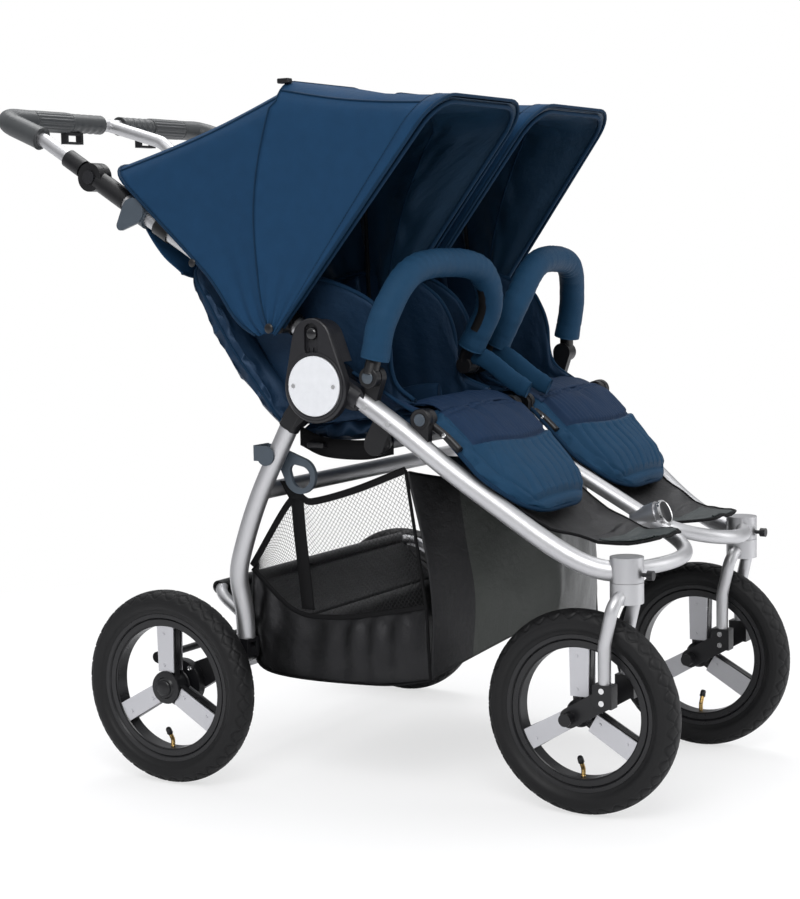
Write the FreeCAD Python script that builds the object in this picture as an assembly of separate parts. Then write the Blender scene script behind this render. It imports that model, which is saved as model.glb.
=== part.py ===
import FreeCAD, Part
import math
import os

# Side-by-side two-seat jogging stroller, millimetres.
# Origin on the ground under the middle of the rear axle; the front faces -Y and +Z is up.
# "right" pieces are at -X. They are modelled once and mirrored to the left.

V = FreeCAD.Vector

# wheels
WHEEL_R = 152.5
TYRE_HALF = 23.0
BEAD_R = 116.9
BEAD_HALF = 15.0
RIM_OPEN_R = 97.0
HUB_HALF = 19.4
AXLE_R = 6.0
AXLE_TUBE_R = 9.5
AXLE_TUBE_HALF = 305.0
AXLE_SPIGOT_R = 8.0
RUN = 0.05
REAR_X = 360.8
FRONT_X = 226.7
STEER_Y = -718.9
TRAIL = 71.0

# frame
FOLD_Y, FOLD_Z = -268.0, 628.0
SIDE_R = 15.0
WALL = 1.8
LEG_X = 315.0
LEG_R = 14.5
PUSH_X = 284.0
PUSH_R = 14.0
CENTRE_R = 12.0
SWING_Y, SWING_Z = -113.0, 208.0
CROSS_Y, CROSS_Z = -350.0, 541.0
HEAD_R = 24.5
HEAD_LOW, HEAD_TOP = 349.5, 386.0
CROWN_LOW, CROWN_TOP = 319.0, 348.9

# handle
JOINT_Y, JOINT_Z = 182.0, 950.0
BAR_R = 11.0
GRIP_R = 17.0
BAR_HALF = 284.0

# seats, pads and canopies
SEAT_IN, SEAT_OUT = 30.0, 262.0
BACK_IN, BACK_OUT = 28.0, 296.0
LEG_REST_Y, LEG_REST_Z = -430.0, 580.0
BUMPER_Y, BUMPER_Z = -357.0, 642.0
BUMPER_R = 21.0
CANOPY_Y, CANOPY_Z = -190.0, 705.0
CANOPY_SKIN = 1.6


def cyl(x0, x1, y, z, r):
    """A cylinder along X."""
    return Part.makeCylinder(r, x1 - x0, V(x0, y, z), V(1, 0, 0))


def box(x0, x1, y0, y1, z0, z1):
    return Part.makeBox(x1 - x0, y1 - y0, z1 - z0, V(x0, y0, z0))


def rod(a, b, r):
    """A straight cylinder from point a to point b."""
    d = b - a
    return Part.makeCylinder(r, d.Length, a, d)


def prism(points_yz, x0, x1):
    """A polygon in the YZ plane, given thickness along X."""
    corners = [V(x0, y, z) for y, z in points_yz]
    face = Part.Face(Part.makePolygon(corners + corners[:1]))
    return face.extrude(V(x1 - x0, 0, 0))


def link(a, ra, b, rb, x0, x1):
    """A plate along X whose outline wraps two circles, a of radius ra and b of radius rb, in the YZ plane."""
    dy, dz = b[0] - a[0], b[1] - a[1]
    dist = math.hypot(dy, dz)
    turn = math.acos((ra - rb) / dist)
    base = math.atan2(dz, dy)
    corners = []
    for centre, r, side in ((a, ra, 1), (b, rb, 1), (b, rb, -1), (a, ra, -1)):
        ang = base + side * turn
        corners.append((centre[0] + r * math.cos(ang), centre[1] + r * math.sin(ang)))
    solid = prism(corners, x0, x1)
    return solid.fuse([cyl(x0, x1, a[0], a[1], ra), cyl(x0, x1, b[0], b[1], rb)]).removeSplitter()


def rounded(points, radius):
    """Edges through the points with every inner corner rounded to the radius, or less where the legs are short."""
    edges = []
    start = points[0]
    for i in range(1, len(points) - 1):
        p, a, b = points[i], points[i - 1] - points[i], points[i + 1] - points[i]
        angle = a.getAngle(b)
        room = min(a.Length, b.Length) * 0.49
        reach = min(radius / math.tan(angle / 2), room)
        r = reach * math.tan(angle / 2)
        a.normalize()
        b.normalize()
        t0, t1 = p + a * reach, p + b * reach
        mid = (a + b).normalize()
        m = p + mid * (r / math.sin(angle / 2) - r)
        if (t0 - start).Length > 1e-4:
            edges.append(Part.makeLine(start, t0))
        edges.append(Part.Arc(t0, m, t1).toShape())
        start = t1
    edges.append(Part.makeLine(start, points[-1]))
    return edges


def smooth(points):
    """One smooth curve through the points."""
    curve = Part.BSplineCurve()
    curve.interpolate(points)
    return [curve.toShape()]


def swept(edges, r):
    """A round bar of radius r along the edges."""
    wire = Part.Wire(edges)
    first = edges[0]
    at = first.valueAt(first.FirstParameter)
    along = first.tangentAt(first.FirstParameter)
    circle = Part.Wire([Part.makeCircle(r, at, along)])
    sweep = Part.BRepOffsetAPI.MakePipeShell(wire)
    sweep.add(circle, False, False)
    sweep.build()
    sweep.makeSolid()
    return sweep.shape()


def pipe(edges, r):
    """A hollow tube of outer radius r along the edges."""
    return swept(edges, r).cut(swept(edges, r - WALL))


def revolve_x(profile, x, y, z):
    """A closed (x, radius) outline turned once about the X-parallel axis through x, y, z."""
    corners = [V(x + px, y, z + pr) for px, pr in profile]
    face = Part.Face(Part.makePolygon(corners + corners[:1]))
    return face.revolve(V(x, y, z), V(1, 0, 0), 360)


def mirrored(shape):
    return shape.mirror(V(0, 0, 0), V(1, 0, 0))


def pair(shape):
    """A right-hand piece together with its left-hand twin."""
    return [shape, mirrored(shape)]


def turned(shape, y, z, degrees):
    """The shape turned about the X-parallel axis through y, z."""
    copy = shape.copy()
    copy.rotate(V(0, y, z), V(1, 0, 0), degrees)
    return copy


def save(name, shapes):
    """Writes a node; a list of pieces becomes one compound of separate solids."""
    parts = shapes if isinstance(shapes, list) else [shapes]
    shape = parts[0] if len(parts) == 1 else Part.makeCompound(parts)
    shape.exportStep("parts/" + name + ".step")


# ---------------------------------------------------------------- wheels


def tyre_section():
    """Half-round tyre outline with the air space open to the rim."""
    outer = []
    for i in range(25):
        a = math.radians(-90 + 180 * i / 24)
        x = TYRE_HALF * math.sin(a)
        bulge = math.cos(a) ** 0.75
        outer.append((x, 130.0 + (WHEEL_R - 130.0) * bulge))
    inner = []
    for i in range(13):
        a = math.radians(90 - 180 * i / 12)
        inner.append((17.5 * math.sin(a), 130.0 + 15.0 * math.cos(a)))
    low_left = [(-11.0, BEAD_R + 3.0), (-11.0, BEAD_R + 0.2), (-BEAD_HALF, BEAD_R + 0.2)]
    low_right = [(BEAD_HALF, BEAD_R + 0.2), (11.0, BEAD_R + 0.2), (11.0, BEAD_R + 3.0)]
    return outer + low_right + inner + low_left


def rim_section():
    """Stepped black rim: a deep bed, two bead shelves and a slimmer inner wall."""
    right = [
        (BEAD_HALF + 1.5, BEAD_R),
        (BEAD_HALF + 1.5, 111.0),
        (13.0, 108.5),
        (13.0, RIM_OPEN_R + 1.5),
        (11.5, RIM_OPEN_R),
    ]
    bed = [(-9.0, BEAD_R), (-7.0, 109.0), (7.0, 109.0), (9.0, BEAD_R)]
    return bed + right + [(-x, r) for x, r in reversed(right)]


def spoke_solid(inner, outer, w_in, w_out, x0, x1):
    """One radial bar pointing straight up, w_in wide at the hub and w_out wide at the rim."""
    ends = [(-w_in / 2, inner), (w_in / 2, inner), (w_out / 2, outer), (-w_out / 2, outer)]
    return prism(ends, x0, x1)


def wheel(x, y):
    """Tyre, rim with its valve, black hub with fins, and the silver plates, centred at x, y."""
    z = WHEEL_R
    tyre = revolve_x(tyre_section(), x, y, z)
    rim = revolve_x(rim_section(), x, y, z)
    out = -1 if x < 0 else 1
    stem = rod(V(0, 0, -RIM_OPEN_R - 1.0), V(0, 0, -RIM_OPEN_R + 14.0), 3.0)
    bent = rod(V(0, 0, -RIM_OPEN_R + 12.0), V(out * 9.0, 0, -RIM_OPEN_R + 27.0), 3.0)
    valve = stem.fuse(bent)
    valve.translate(V(x, y, z))
    valve = valve.cut(rim)
    barrel = revolve_x([(-HUB_HALF, AXLE_R + RUN), (-HUB_HALF, 15.0), (-12.0, 21.0), (12.0, 21.0),
                        (HUB_HALF, 15.0), (HUB_HALF, AXLE_R + RUN)], 0, 0, 0)
    ring_room = Part.makeCylinder(RIM_OPEN_R, 60, V(-30, 0, 0), V(1, 0, 0))
    arms, plates = [], []
    for k in range(3):
        arm = spoke_solid(15.0, RIM_OPEN_R + 6.0, 26.0, 34.0, -5.5, 5.5)
        web = spoke_solid(15.0, RIM_OPEN_R + 6.0, 5.0, 5.0, -9.5, 9.5)
        arms.append(turned(arm.fuse(web), 0, 0, 120 * k))
        for side in (-1, 1):
            face = [(-14.5, 24.5), (14.5, 24.5), (16.0, RIM_OPEN_R + 6.0), (-16.0, RIM_OPEN_R + 6.0)]
            low, high = sorted((side * 9.5, side * 12.0))
            plate = prism(face, low, high)
            for r in (35.0, 84.0):
                head_low, head_high = sorted((side * 12.0, side * 13.4))
                plate = plate.fuse(cyl(head_low, head_high, 4.0, r, 2.6))
            plates.append(turned(plate.common(ring_room), 0, 0, 120 * k))
    bore = cyl(-30, 30, 0, 0, AXLE_R + RUN)
    hub = barrel.fuse(arms).common(ring_room).cut(bore).removeSplitter()
    plates = [p.cut(hub) for p in plates]
    for piece in [hub] + plates:
        piece.translate(V(x, y, z))
    return tyre, [rim, valve], hub, plates


def save_wheels():
    places = {
        "front_right": (-FRONT_X, STEER_Y + TRAIL),
        "front_left": (FRONT_X, STEER_Y + TRAIL),
        "rear_right": (-REAR_X, 0.0),
        "rear_left": (REAR_X, 0.0),
    }
    for where, (x, y) in places.items():
        tyre, rim, hub, plates = wheel(x, y)
        save("tyre_" + where, tyre)
        save("wheel_" + where, rim + [hub])
        save("spokes_" + where, plates)


# ---------------------------------------------------------------- front forks and head tubes


def fork():
    """Right fork: crown with steerer, two legs, two black dropouts, and the wheel axle with its bolt heads."""
    x = -FRONT_X
    wheel_y = STEER_Y + TRAIL
    crown = Part.makeCylinder(HEAD_R, CROWN_TOP - CROWN_LOW, V(x, STEER_Y, CROWN_LOW))
    crown = crown.fuse(Part.makeCylinder(12.0, 32.0, V(x, STEER_Y, CROWN_TOP - 1.0)))
    pieces = [crown]
    lower = []
    for side in (-1, 1):
        off = side * 39.0
        points = [V(x + side * 12.0, STEER_Y, 334.0), V(x + side * 40.0, STEER_Y + 4.0, 322.0),
                  V(x + off, STEER_Y + 18.0, 262.0), V(x + off, STEER_Y + 18.0, 206.0)]
        leg = pipe(rounded(points, 26.0), 9.5)
        pieces.append(leg.cut(Part.makeCylinder(HEAD_R, 60, V(x, STEER_Y, CROWN_LOW - 20))))
        inner, outer = sorted((x + side * 28.5, x + side * 49.5))
        block = box(inner, outer, STEER_Y + 3.0, STEER_Y + 33.0, 172.0, 206.0)
        arm_in, arm_out = sorted((x + side * 28.5, x + side * 46.0))
        arm = link((STEER_Y + 18.0, 184.0), 15.0, (wheel_y, WHEEL_R), 15.0, arm_in, arm_out)
        drop = block.fuse(arm).cut(cyl(x - 60, x + 60, wheel_y, WHEEL_R, AXLE_R))
        pieces.append(drop.removeSplitter())
        for z in (180.0, 198.0):
            a, b = sorted((x + side * 49.5, x + side * 51.5))
            lower.append(cyl(a, b, STEER_Y + 18.0, z, 4.2))
    axle = cyl(x - 46.0, x + 46.0, wheel_y, WHEEL_R, AXLE_R)
    caps = [cyl(x - 63.0, x - 46.0, wheel_y, WHEEL_R, 9.5), cyl(x + 46.0, x + 63.0, wheel_y, WHEEL_R, 9.5)]
    collars = [cyl(x - 28.5, x - HUB_HALF - 0.4, wheel_y, WHEEL_R, 10.0),
               cyl(x + HUB_HALF + 0.4, x + 28.5, wheel_y, WHEEL_R, 10.0)]
    pieces.append(axle.fuse(caps + collars))
    return pieces, lower


def head_tube():
    x = -FRONT_X
    tube = Part.makeCylinder(HEAD_R, HEAD_TOP - HEAD_LOW, V(x, STEER_Y, HEAD_LOW))
    bore = Part.makeCylinder(12.0 + RUN, 31.5, V(x, STEER_Y, HEAD_LOW))
    pin = Part.makeCylinder(3.0 + RUN, 12.0, V(x, STEER_Y - HEAD_R + 11.0, 361.0), V(0, -1, 0))
    return tube.cut(bore).cut(pin)


def swivel_knob():
    x = -FRONT_X
    stem = Part.makeCylinder(3.0, 19.0, V(x, STEER_Y - HEAD_R + 9.0, 361.0), V(0, -1, 0))
    head = Part.makeCylinder(7.0, 9.0, V(x, STEER_Y - HEAD_R - 8.0, 361.0), V(0, -1, 0))
    return stem.fuse(head)


# ---------------------------------------------------------------- front frame (the body that stays put)


def side_tube_edges():
    points = [(-315, -334, 607), (-315, -364, 588), (-313, -398, 565), (-297, -470, 507), (-275, -541, 452),
              (-252, -626, 391.5), (-239, -682, 367), (-229, -708, 364)]
    return smooth([V(*p) for p in points])


def side_tube():
    solid_head = Part.makeCylinder(HEAD_R, 60, V(-FRONT_X, STEER_Y, 340))
    return pipe(side_tube_edges(), SIDE_R).cut(solid_head)


def front_bow():
    points = [(-9, -668, 401), (-40, -722, 381), (-90, -751, 372), (-150, -750, 368), (-207, -728, 366)]
    bow = pipe(smooth([V(*p) for p in points]), 11.0)
    bow = bow.cut(Part.makeCylinder(HEAD_R, 60, V(-FRONT_X, STEER_Y, 340)))
    return bow.cut(knuckle())


def knuckle():
    body = rod(V(0, -634, 399), V(0, -672, 415), 21.0)
    cap = rod(V(0, -672, 415), V(0, -679, 418), 18.0)
    return body.fuse(cap)


def spine():
    tube = pipe([Part.makeLine(V(0, -334, 581.5), V(0, -646, 413))], CENTRE_R)
    return tube.cut(knuckle())


def centre_bracket():
    """Black cheeks either side of the centre push tube, with the inner bumper and leg-rest pivots on them."""
    pieces = []
    for low, high in ((-20.0, -14.5), (14.5, 20.0)):
        cheek = link((FOLD_Y, FOLD_Z), 22.0, (BUMPER_Y, BUMPER_Z), 14.0, low, high)
        lower = link((FOLD_Y, FOLD_Z), 22.0, (-322.0, 590.0), 16.0, low, high)
        pieces.append(cheek.fuse(lower))
    block = box(-14.5, 14.5, -334, -304, 574, 603)
    block = turned(block, -319, 588, 28.4)
    pin = cyl(-20, 20, FOLD_Y, FOLD_Z, 7.0)
    studs = [cyl(-30.0, -14.5, BUMPER_Y, BUMPER_Z, 5.0), cyl(14.5, 30.0, BUMPER_Y, BUMPER_Z, 5.0)]
    whole = pieces[0].fuse([pieces[1], block, pin] + studs)
    return whole.cut(rod(V(0, -334, 581.5), V(0, -646, 413), CENTRE_R)).removeSplitter()


def leg_rest_posts():
    """Inner leg-rest pivot posts on both flanks of the spine."""
    post = link((LEG_REST_Y, 531.0), 10.0, (LEG_REST_Y, LEG_REST_Z), 13.0, -20.0, -11.0)
    post = post.fuse(cyl(-30.0, -20.0, LEG_REST_Y, LEG_REST_Z, 5.0))
    tube = rod(V(0, -334, 581.5), V(0, -646, 413), CENTRE_R)
    return pair(post.cut(tube))


def hub_outline(x0, x1, shrink=0.0):
    """The teardrop outline of the fold housing."""
    return link((FOLD_Y, 626.0), 54.0 - shrink, (-263.0, 694.0), 35.0 - shrink, x0, x1)


def hub_housing():
    """Outer fold housing: teardrop plate, upper inner layer, front tube socket and the fold axle."""
    plate = hub_outline(-342.0, -328.0)
    rim_edges = [e for e in plate.Edges if abs(e.BoundBox.XMax + 342.0) < 1e-4]
    plate = plate.makeFillet(4.0, rim_edges)
    upper = hub_outline(-328.0, -300.0, 3.0).common(box(-330, -299, -330, -200, 664, 740))
    socket = rod(V(-315, -296, 627), V(-315, -334, 607), 18.5)
    gusset = link((-300.0, 622.0), 22.0, (-326.0, 611.0), 18.5, -328.0, -315.0)
    room = cyl(-328.0, -265.0, FOLD_Y, FOLD_Z, 31.0)
    socket = socket.fuse(gusset).cut([room, box(-299.2, -290.0, -345.0, -285.0, 580.0, 650.0)])
    spigot = rod(V(-315, -331, 608.6), V(-315, -350, 597), 12.6)
    axle = cyl(-328.0, -269.5, FOLD_Y, FOLD_Z, 8.0)
    channel = link((-263.5, 684.0), 12.0, (-263.5, 710.0), 12.0, -342.5, -336.0)
    recess = cyl(-342.5, -340.0, FOLD_Y, FOLD_Z, 46.0)
    housing = plate.fuse([upper, socket, spigot, axle])
    return housing.cut(channel).cut(recess).cut(pipe(side_tube_edges(), SIDE_R)).removeSplitter()


def hub_disc():
    disc = cyl(-345.2, -340.0, FOLD_Y, FOLD_Z, 45.0)
    return disc.makeFillet(1.5, [e for e in disc.Edges if abs(e.BoundBox.XMax + 345.2) < 1e-4])


def disc_screws():
    return [cyl(-346.4, -345.2, FOLD_Y + s * 35.0, FOLD_Z, 3.2) for s in (-1, 1)]


def fold_slider():
    """The oval fold button at the top of its channel."""
    base = link((-263.5, 702.0), 9.0, (-263.5, 710.0), 9.0, -341.0, -336.0)
    bump = link((-263.5, 703.0), 7.0, (-263.5, 709.0), 7.0, -344.5, -341.0)
    return base.fuse(bump)


def tube_screws():
    """Rivet heads on the outer face of the right side tube."""
    tube = swept(side_tube_edges(), SIDE_R)
    near = [(-LEG_X - SIDE_R, -347.0, 598.5), (-LEG_X - SIDE_R + 0.5, -386.0, 573.5)]
    return [cyl(x - 2.0, x + 1.5, y, z, 4.2).cut(tube) for x, y, z in near]


def cross_tube():
    return pipe([Part.makeLine(V(-299, CROSS_Y, CROSS_Z), V(299, CROSS_Y, CROSS_Z))], 11.0)


def side_bracket():
    """Black bracket under the right side tube: cross-tube socket, bumper pivot and leg-rest pivot."""
    drop = link((CROSS_Y, CROSS_Z), 17.0, (-366.0, 575.0), 15.0, -311.0, -299.0)
    bumper = link((-352.0, 606.0), 9.0, (BUMPER_Y, BUMPER_Z), 16.0, -321.0, -308.0)
    bumper = bumper.fuse(cyl(-334.0, -321.0, BUMPER_Y, BUMPER_Z, 5.0))
    rest = link((-434.0, 545.0), 9.0, (LEG_REST_Y, LEG_REST_Z), 15.0, -312.0, -300.0)
    rest = rest.fuse(cyl(-300.0, -288.0, LEG_REST_Y, LEG_REST_Z, 5.0))
    tube = swept(side_tube_edges(), SIDE_R)
    hub_socket = rod(V(-315, -296, 627), V(-315, -334, 607), 18.8)
    hub_gusset = cyl(-328.2, -314.8, -326.0, 611.0, 18.8)
    socket = cyl(-299.0, -289.0, CROSS_Y, CROSS_Z, 16.0).cut(cyl(-300, -288, CROSS_Y, CROSS_Z, 11.0))
    return [drop.fuse(socket).cut(tube), bumper.cut([tube, hub_socket, hub_gusset]), rest.cut(tube)]


def saddle():
    """Clamp that ties the spine to the seat cross tube."""
    block = box(-15, 15, CROSS_Y - 13, CROSS_Y + 13, CROSS_Z - 2, 574)
    block = block.cut(cyl(-20, 20, CROSS_Y, CROSS_Z, 11.0))
    return block.cut(rod(V(0, -334, 581.5), V(0, -646, 413), CENTRE_R))


def footrest(sign):
    """Footwell sling under one leg rest, with its rubber toe mat."""
    profile = [(-500, 487), (-600, 421), (-668, 396), (-741, 396)]
    under = [(y, z - 2.5) for y, z in reversed(profile)]
    sheet = prism(profile + under, -300, 300)
    outline = [(-26, -505), (-266, -505), (-236, -600), (-214, -668), (-194, -694), (-186, -728), (-160, -740),
               (-70, -740), (-46, -716), (-34, -690), (-30, -640)]
    plan = Part.Face(Part.makePolygon([V(x, y, 300) for x, y in outline + outline[:1]]))
    sling = sheet.common(plan.extrude(V(0, 0, 250)))
    mat_area = [(-206, -676), (-189, -696), (-181, -726), (-158, -735), (-72, -735), (-52, -713), (-42, -676)]
    area = Part.Face(Part.makePolygon([V(x, y, 396) for x, y in mat_area + mat_area[:1]]))
    mat = area.extrude(V(0, 0, 2.5))
    return [sling, mat] if sign < 0 else [mirrored(sling), mirrored(mat)]


def seat_cushion():
    """Right seat pad, rising a little towards the front."""
    outline = [(-186, 558), (-390, 592), (-396, 585), (-392, 564), (-186, 530)]
    pad = prism(outline, -SEAT_OUT, -SEAT_IN)
    edges = [e for e in pad.Edges if abs(abs(e.tangentAt(e.FirstParameter).x) - 1) > 1e-3 and e.Length > 60]
    return pad.makeFillet(6.0, edges)


def crotch_strap():
    """Crotch strap lying on the cushion, with its buckle at the rear end."""
    slope = -math.degrees(math.atan2(34.0, 204.0))
    strap = turned(box(-166, -130, -352, -300, 588, 597), -349, 587, slope)
    buckle = turned(box(-172, -124, -300, -264, 588, 604), -349, 587, slope)
    return strap, buckle


def basket():
    """Open storage tub slung under the seats; its front wall bows forward in the middle."""
    side = [(-60, 292), (-108, 231), (-139, 175), (-329, 172), (-430, 188), (-498, 250), (-505, 330), (-500, 452),
            (-392, 504), (-301, 470), (-225, 447), (-189, 453), (-112, 337)]
    inner = [(-40, 292), (-66, 292), (-110.5, 236), (-141, 178), (-329, 175), (-429, 191), (-494, 252), (-501, 330),
             (-497, 600), (-40, 600)]
    plan = [(-291, -40), (-291, -430), (0, -505), (291, -430), (291, -40)]
    hollow = [(-288.5, -30), (-288.5, -428.5), (0, -501.5), (288.5, -428.5), (288.5, -30)]
    solids = []
    for outline in (plan, hollow):
        corners = [V(x, y, 100) for x, y in outline]
        solids.append(Part.Face(Part.makePolygon(corners + corners[:1])).extrude(V(0, 0, 520)))
    return prism(side, -300, 300).common(solids[0]).cut(prism(inner, -300, 300).common(solids[1]))


# ---------------------------------------------------------------- rear frame


def rear_leg_edges():
    points = [(-203, 562), (-176, 513), (-150, 464), (-112, 369), (-103, 325), (-110, 284), (-113, 256), (-113, 232)]
    return smooth([V(-LEG_X, y, z) for y, z in points])


def rear_leg():
    return pipe(rear_leg_edges(), LEG_R)


def rear_knuckle():
    """Black rear half of the fold joint, with the socket for the rear leg."""
    disc = cyl(-327.5, -299.5, FOLD_Y, FOLD_Z, 30.0)
    arm = link((FOLD_Y, FOLD_Z), 24.0, (-214.0, 576.0), 15.0, -327.0, -300.0)
    neck = rod(V(-LEG_X, -222, 590), V(-LEG_X, -203, 562), 16.5)
    spigot = rod(V(-LEG_X, -204, 563), V(-LEG_X, -193, 543.5), 12.2)
    whole = disc.fuse([arm, neck, spigot]).cut(cyl(-340, -290, FOLD_Y, FOLD_Z, 8.0 + RUN))
    whole = whole.cut(cyl(-345.0, -327.5, FOLD_Y, FOLD_Z, 200)).cut(rear_leg())
    return whole.removeSplitter()


def rear_cross_tube():
    tube = pipe([Part.makeLine(V(-312, -149.4, 462), V(312, -149.4, 462))], 13.0)
    leg = swept(rear_leg_edges(), LEG_R)
    return tube.cut(leg).cut(mirrored(leg))


def basket_bar():
    """Bar behind the basket, from leg to leg."""
    half = [(-310, -111, 262), (-303, -62, 292), (-276, -40, 300)]
    points = [V(*p) for p in half] + [V(-x, y, z) for x, y, z in reversed(half)]
    bar = pipe(rounded(points, 34.0), 9.0)
    leg = swept(rear_leg_edges(), LEG_R)
    return bar.cut(leg).cut(mirrored(leg))


def leg_end():
    """Black clevis in the foot of the rear leg, with the swing-arm pin."""
    plug = Part.makeCylinder(12.4, 20.0, V(-LEG_X, SWING_Y, 228.0))
    cap = box(-331.0, -299.0, SWING_Y - 14, SWING_Y + 14, 226.0, 232.0)
    cheeks = []
    for low, high in ((-331.0, -323.5), (-306.5, -299.0)):
        cheeks.append(link((SWING_Y, 226.0), 14.0, (SWING_Y, SWING_Z), 14.0, low, high))
    pin = cyl(-324.0, -306.0, SWING_Y, SWING_Z, 4.0)
    below = box(-340, -290, SWING_Y - 40, SWING_Y + 40, 232.0, 260.0)
    whole = cap.fuse([c.cut(below) for c in cheeks] + [pin, plug])
    return whole.cut(swept(rear_leg_edges(), LEG_R).cut(swept(rear_leg_edges(), LEG_R - WALL))).removeSplitter()


def storage_latch():
    """Fold lock on the right leg: a fixed clamp and a ring lever on its pin."""
    y, z = -170.0, 519.0
    clamp = cyl(-333.5, -329.8, y, z, 15.0).fuse(cyl(-299.8, -296.0, y, z, 15.0))
    wrap = box(-333.5, -296.0, y + 17.0, y + 21.0, z - 8, z + 16)
    clamp = clamp.fuse([wrap, box(-333.5, -329.8, y, y + 21, z - 8, z + 15), box(-299.8, -296, y, y + 21, z - 8, z + 15)])
    clamp = clamp.fuse(cyl(-296.0, -286.0, y, z, 4.0)).cut(swept(rear_leg_edges(), LEG_R))
    ring = link((y, z), 9.0, (-206.0, 486.0), 28.0, -294.0, -287.0)
    hole = link((-197.0, 494.0), 9.0, (-208.0, 484.0), 17.0, -295.0, -286.0)
    ring = ring.cut(hole).cut(cyl(-300, -280, y, z, 4.0 + RUN))
    return clamp.removeSplitter(), ring.removeSplitter()


# ---------------------------------------------------------------- rear suspension and brake


def swing_arm():
    """Right swing arm: eye on the leg pin, carrier disc and wheel axle."""
    arm = link((SWING_Y, SWING_Z), 13.5, (0.0, WHEEL_R), 24.0, -323.0, -307.0)
    carrier = cyl(-338.5, -323.0, 0.0, WHEEL_R, 38.0)
    slot_room = cyl(-340.0, -323.0, SWING_Y, SWING_Z, 60.0)
    boss = cyl(-341.0, -338.5, 0.0, WHEEL_R, 11.0)
    axle = cyl(-REAR_X - HUB_HALF - 0.4, -338.5, 0.0, WHEEL_R, AXLE_R)
    cap = cyl(-REAR_X - HUB_HALF - 3.0, -REAR_X - HUB_HALF - 0.4, 0.0, WHEEL_R, 11.0)
    arm = arm.fuse(carrier.cut(slot_room)).cut(cyl(-330, -300, SWING_Y, SWING_Z, 4.0 + RUN))
    arm = arm.fuse([boss, axle, cap, brake_boss()])
    return arm.cut(cyl(-320.0, -300.0, 0.0, WHEEL_R, AXLE_SPIGOT_R)).removeSplitter()


def axle_tube():
    """Axle tube between the swing arms, stepped down at both ends where it enters them."""
    tube = pipe([Part.makeLine(V(-AXLE_TUBE_HALF, 0.0, WHEEL_R), V(AXLE_TUBE_HALF, 0.0, WHEEL_R))], AXLE_TUBE_R)
    spigot = cyl(-320.0, 5.0 - AXLE_TUBE_HALF, 0.0, WHEEL_R, AXLE_SPIGOT_R)
    return tube.fuse([spigot, mirrored(spigot)]).removeSplitter()


def brake_bar():
    """Foot brake: a lever behind each carrier, joined by a bar across the stroller."""
    y, z = 34.0, 176.0
    lever = link((y, z), 8.0, (60.0, 184.0), 9.0, -317.5, -308.0).cut(cyl(-330, -300, y, z, 3.0 + RUN))
    return lever.fuse([mirrored(lever), cyl(-308.0, 308.0, 60.0, 184.0, 6.0)])


def brake_boss():
    """Pin on the carrier that the brake lever turns on."""
    plate = link((18.0, 166.0), 9.0, (34.0, 176.0), 8.0, -323.0, -318.0)
    return plate.fuse(cyl(-318.0, -308.0, 34.0, 176.0, 3.0))


# ---------------------------------------------------------------- push frame and handle


def push_edges():
    points = [V(-PUSH_X, -254, 652), V(-PUSH_X, -236, 693), V(-PUSH_X, 150, 930.3)]
    return rounded(points, 46.0)


def push_line(t, x=-PUSH_X):
    """A point on the straight stretch of the push tube, t along from its bend."""
    along = V(0, 386, 237.3).normalize()
    return V(x, -236, 693) + along * t


def push_tube():
    disc = cyl(-298.5, -269.5, FOLD_Y, FOLD_Z, 30.0)
    return pipe(push_edges(), PUSH_R).cut(disc)


def push_knuckle():
    """Black inner plate of the fold joint that carries the push tube."""
    disc = cyl(-298.5, -270.0, FOLD_Y, FOLD_Z, 30.0)
    neck = rod(V(-PUSH_X, FOLD_Y, FOLD_Z), V(-PUSH_X, -250, 661), 16.5)
    neck = neck.common(box(-298.5, -260, -320, -200, 600, 700))
    whole = disc.fuse(neck).cut(cyl(-310, -260, FOLD_Y, FOLD_Z, 8.0 + RUN))
    return whole.cut(swept(push_edges(), PUSH_R)).removeSplitter()


def centre_push_edges():
    return [Part.makeLine(V(0, FOLD_Y + 17, FOLD_Z + 12), V(0, 146.0, 924.3))]


def centre_push_tube():
    disc = cyl(-14, 14, FOLD_Y, FOLD_Z, 20.0)
    return pipe(centre_push_edges(), CENTRE_R).cut(disc)


def centre_knuckle_disc():
    disc = cyl(-14.0, 14.0, FOLD_Y, FOLD_Z, 20.0)
    return disc.cut(cyl(-20, 20, FOLD_Y, FOLD_Z, 7.0 + RUN))


def lower_joint(x, towards):
    """Lower half of a handle joint: sleeve over the push tube, neck, outboard disc and pivot pin."""
    axis = V(x, JOINT_Y, JOINT_Z)
    d = (axis - towards).normalize()
    sleeve = rod(axis - d * 77.0, axis - d * 26.0, 16.5)
    tip = rod(axis - d * 26.0, axis - d * 12.0, 16.5).common(box(x - 20, x - 0.5, 0, 400, 800, 1100))
    disc = cyl(x - 14.5, x - 0.5, JOINT_Y, JOINT_Z, 23.0)
    pin = cyl(x - 5.0, x + 12.0, JOINT_Y, JOINT_Z, 5.0)
    well = cyl(x - 15.0, x - 8.0, JOINT_Y, JOINT_Z, 11.0 + RUN)
    return sleeve.fuse([tip, disc]).cut(well).fuse(pin).removeSplitter()


def upper_joint(x, towards):
    """Upper half of a handle joint: inboard disc, neck and the sleeve over the handlebar."""
    axis = V(x, JOINT_Y, JOINT_Z)
    d = (towards - axis).normalize()
    sleeve = rod(axis + d * 26.0, axis + d * 62.0, 15.0)
    tip = rod(axis + d * 12.0, axis + d * 26.0, 15.0).common(box(x + 0.5, x + 20, 0, 400, 800, 1100))
    disc = cyl(x + 0.5, x + 14.5, JOINT_Y, JOINT_Z, 23.0)
    bore = cyl(x, x + 20, JOINT_Y, JOINT_Z, 5.0 + RUN)
    return sleeve.fuse([tip, disc]).cut(bore).removeSplitter()


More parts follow.
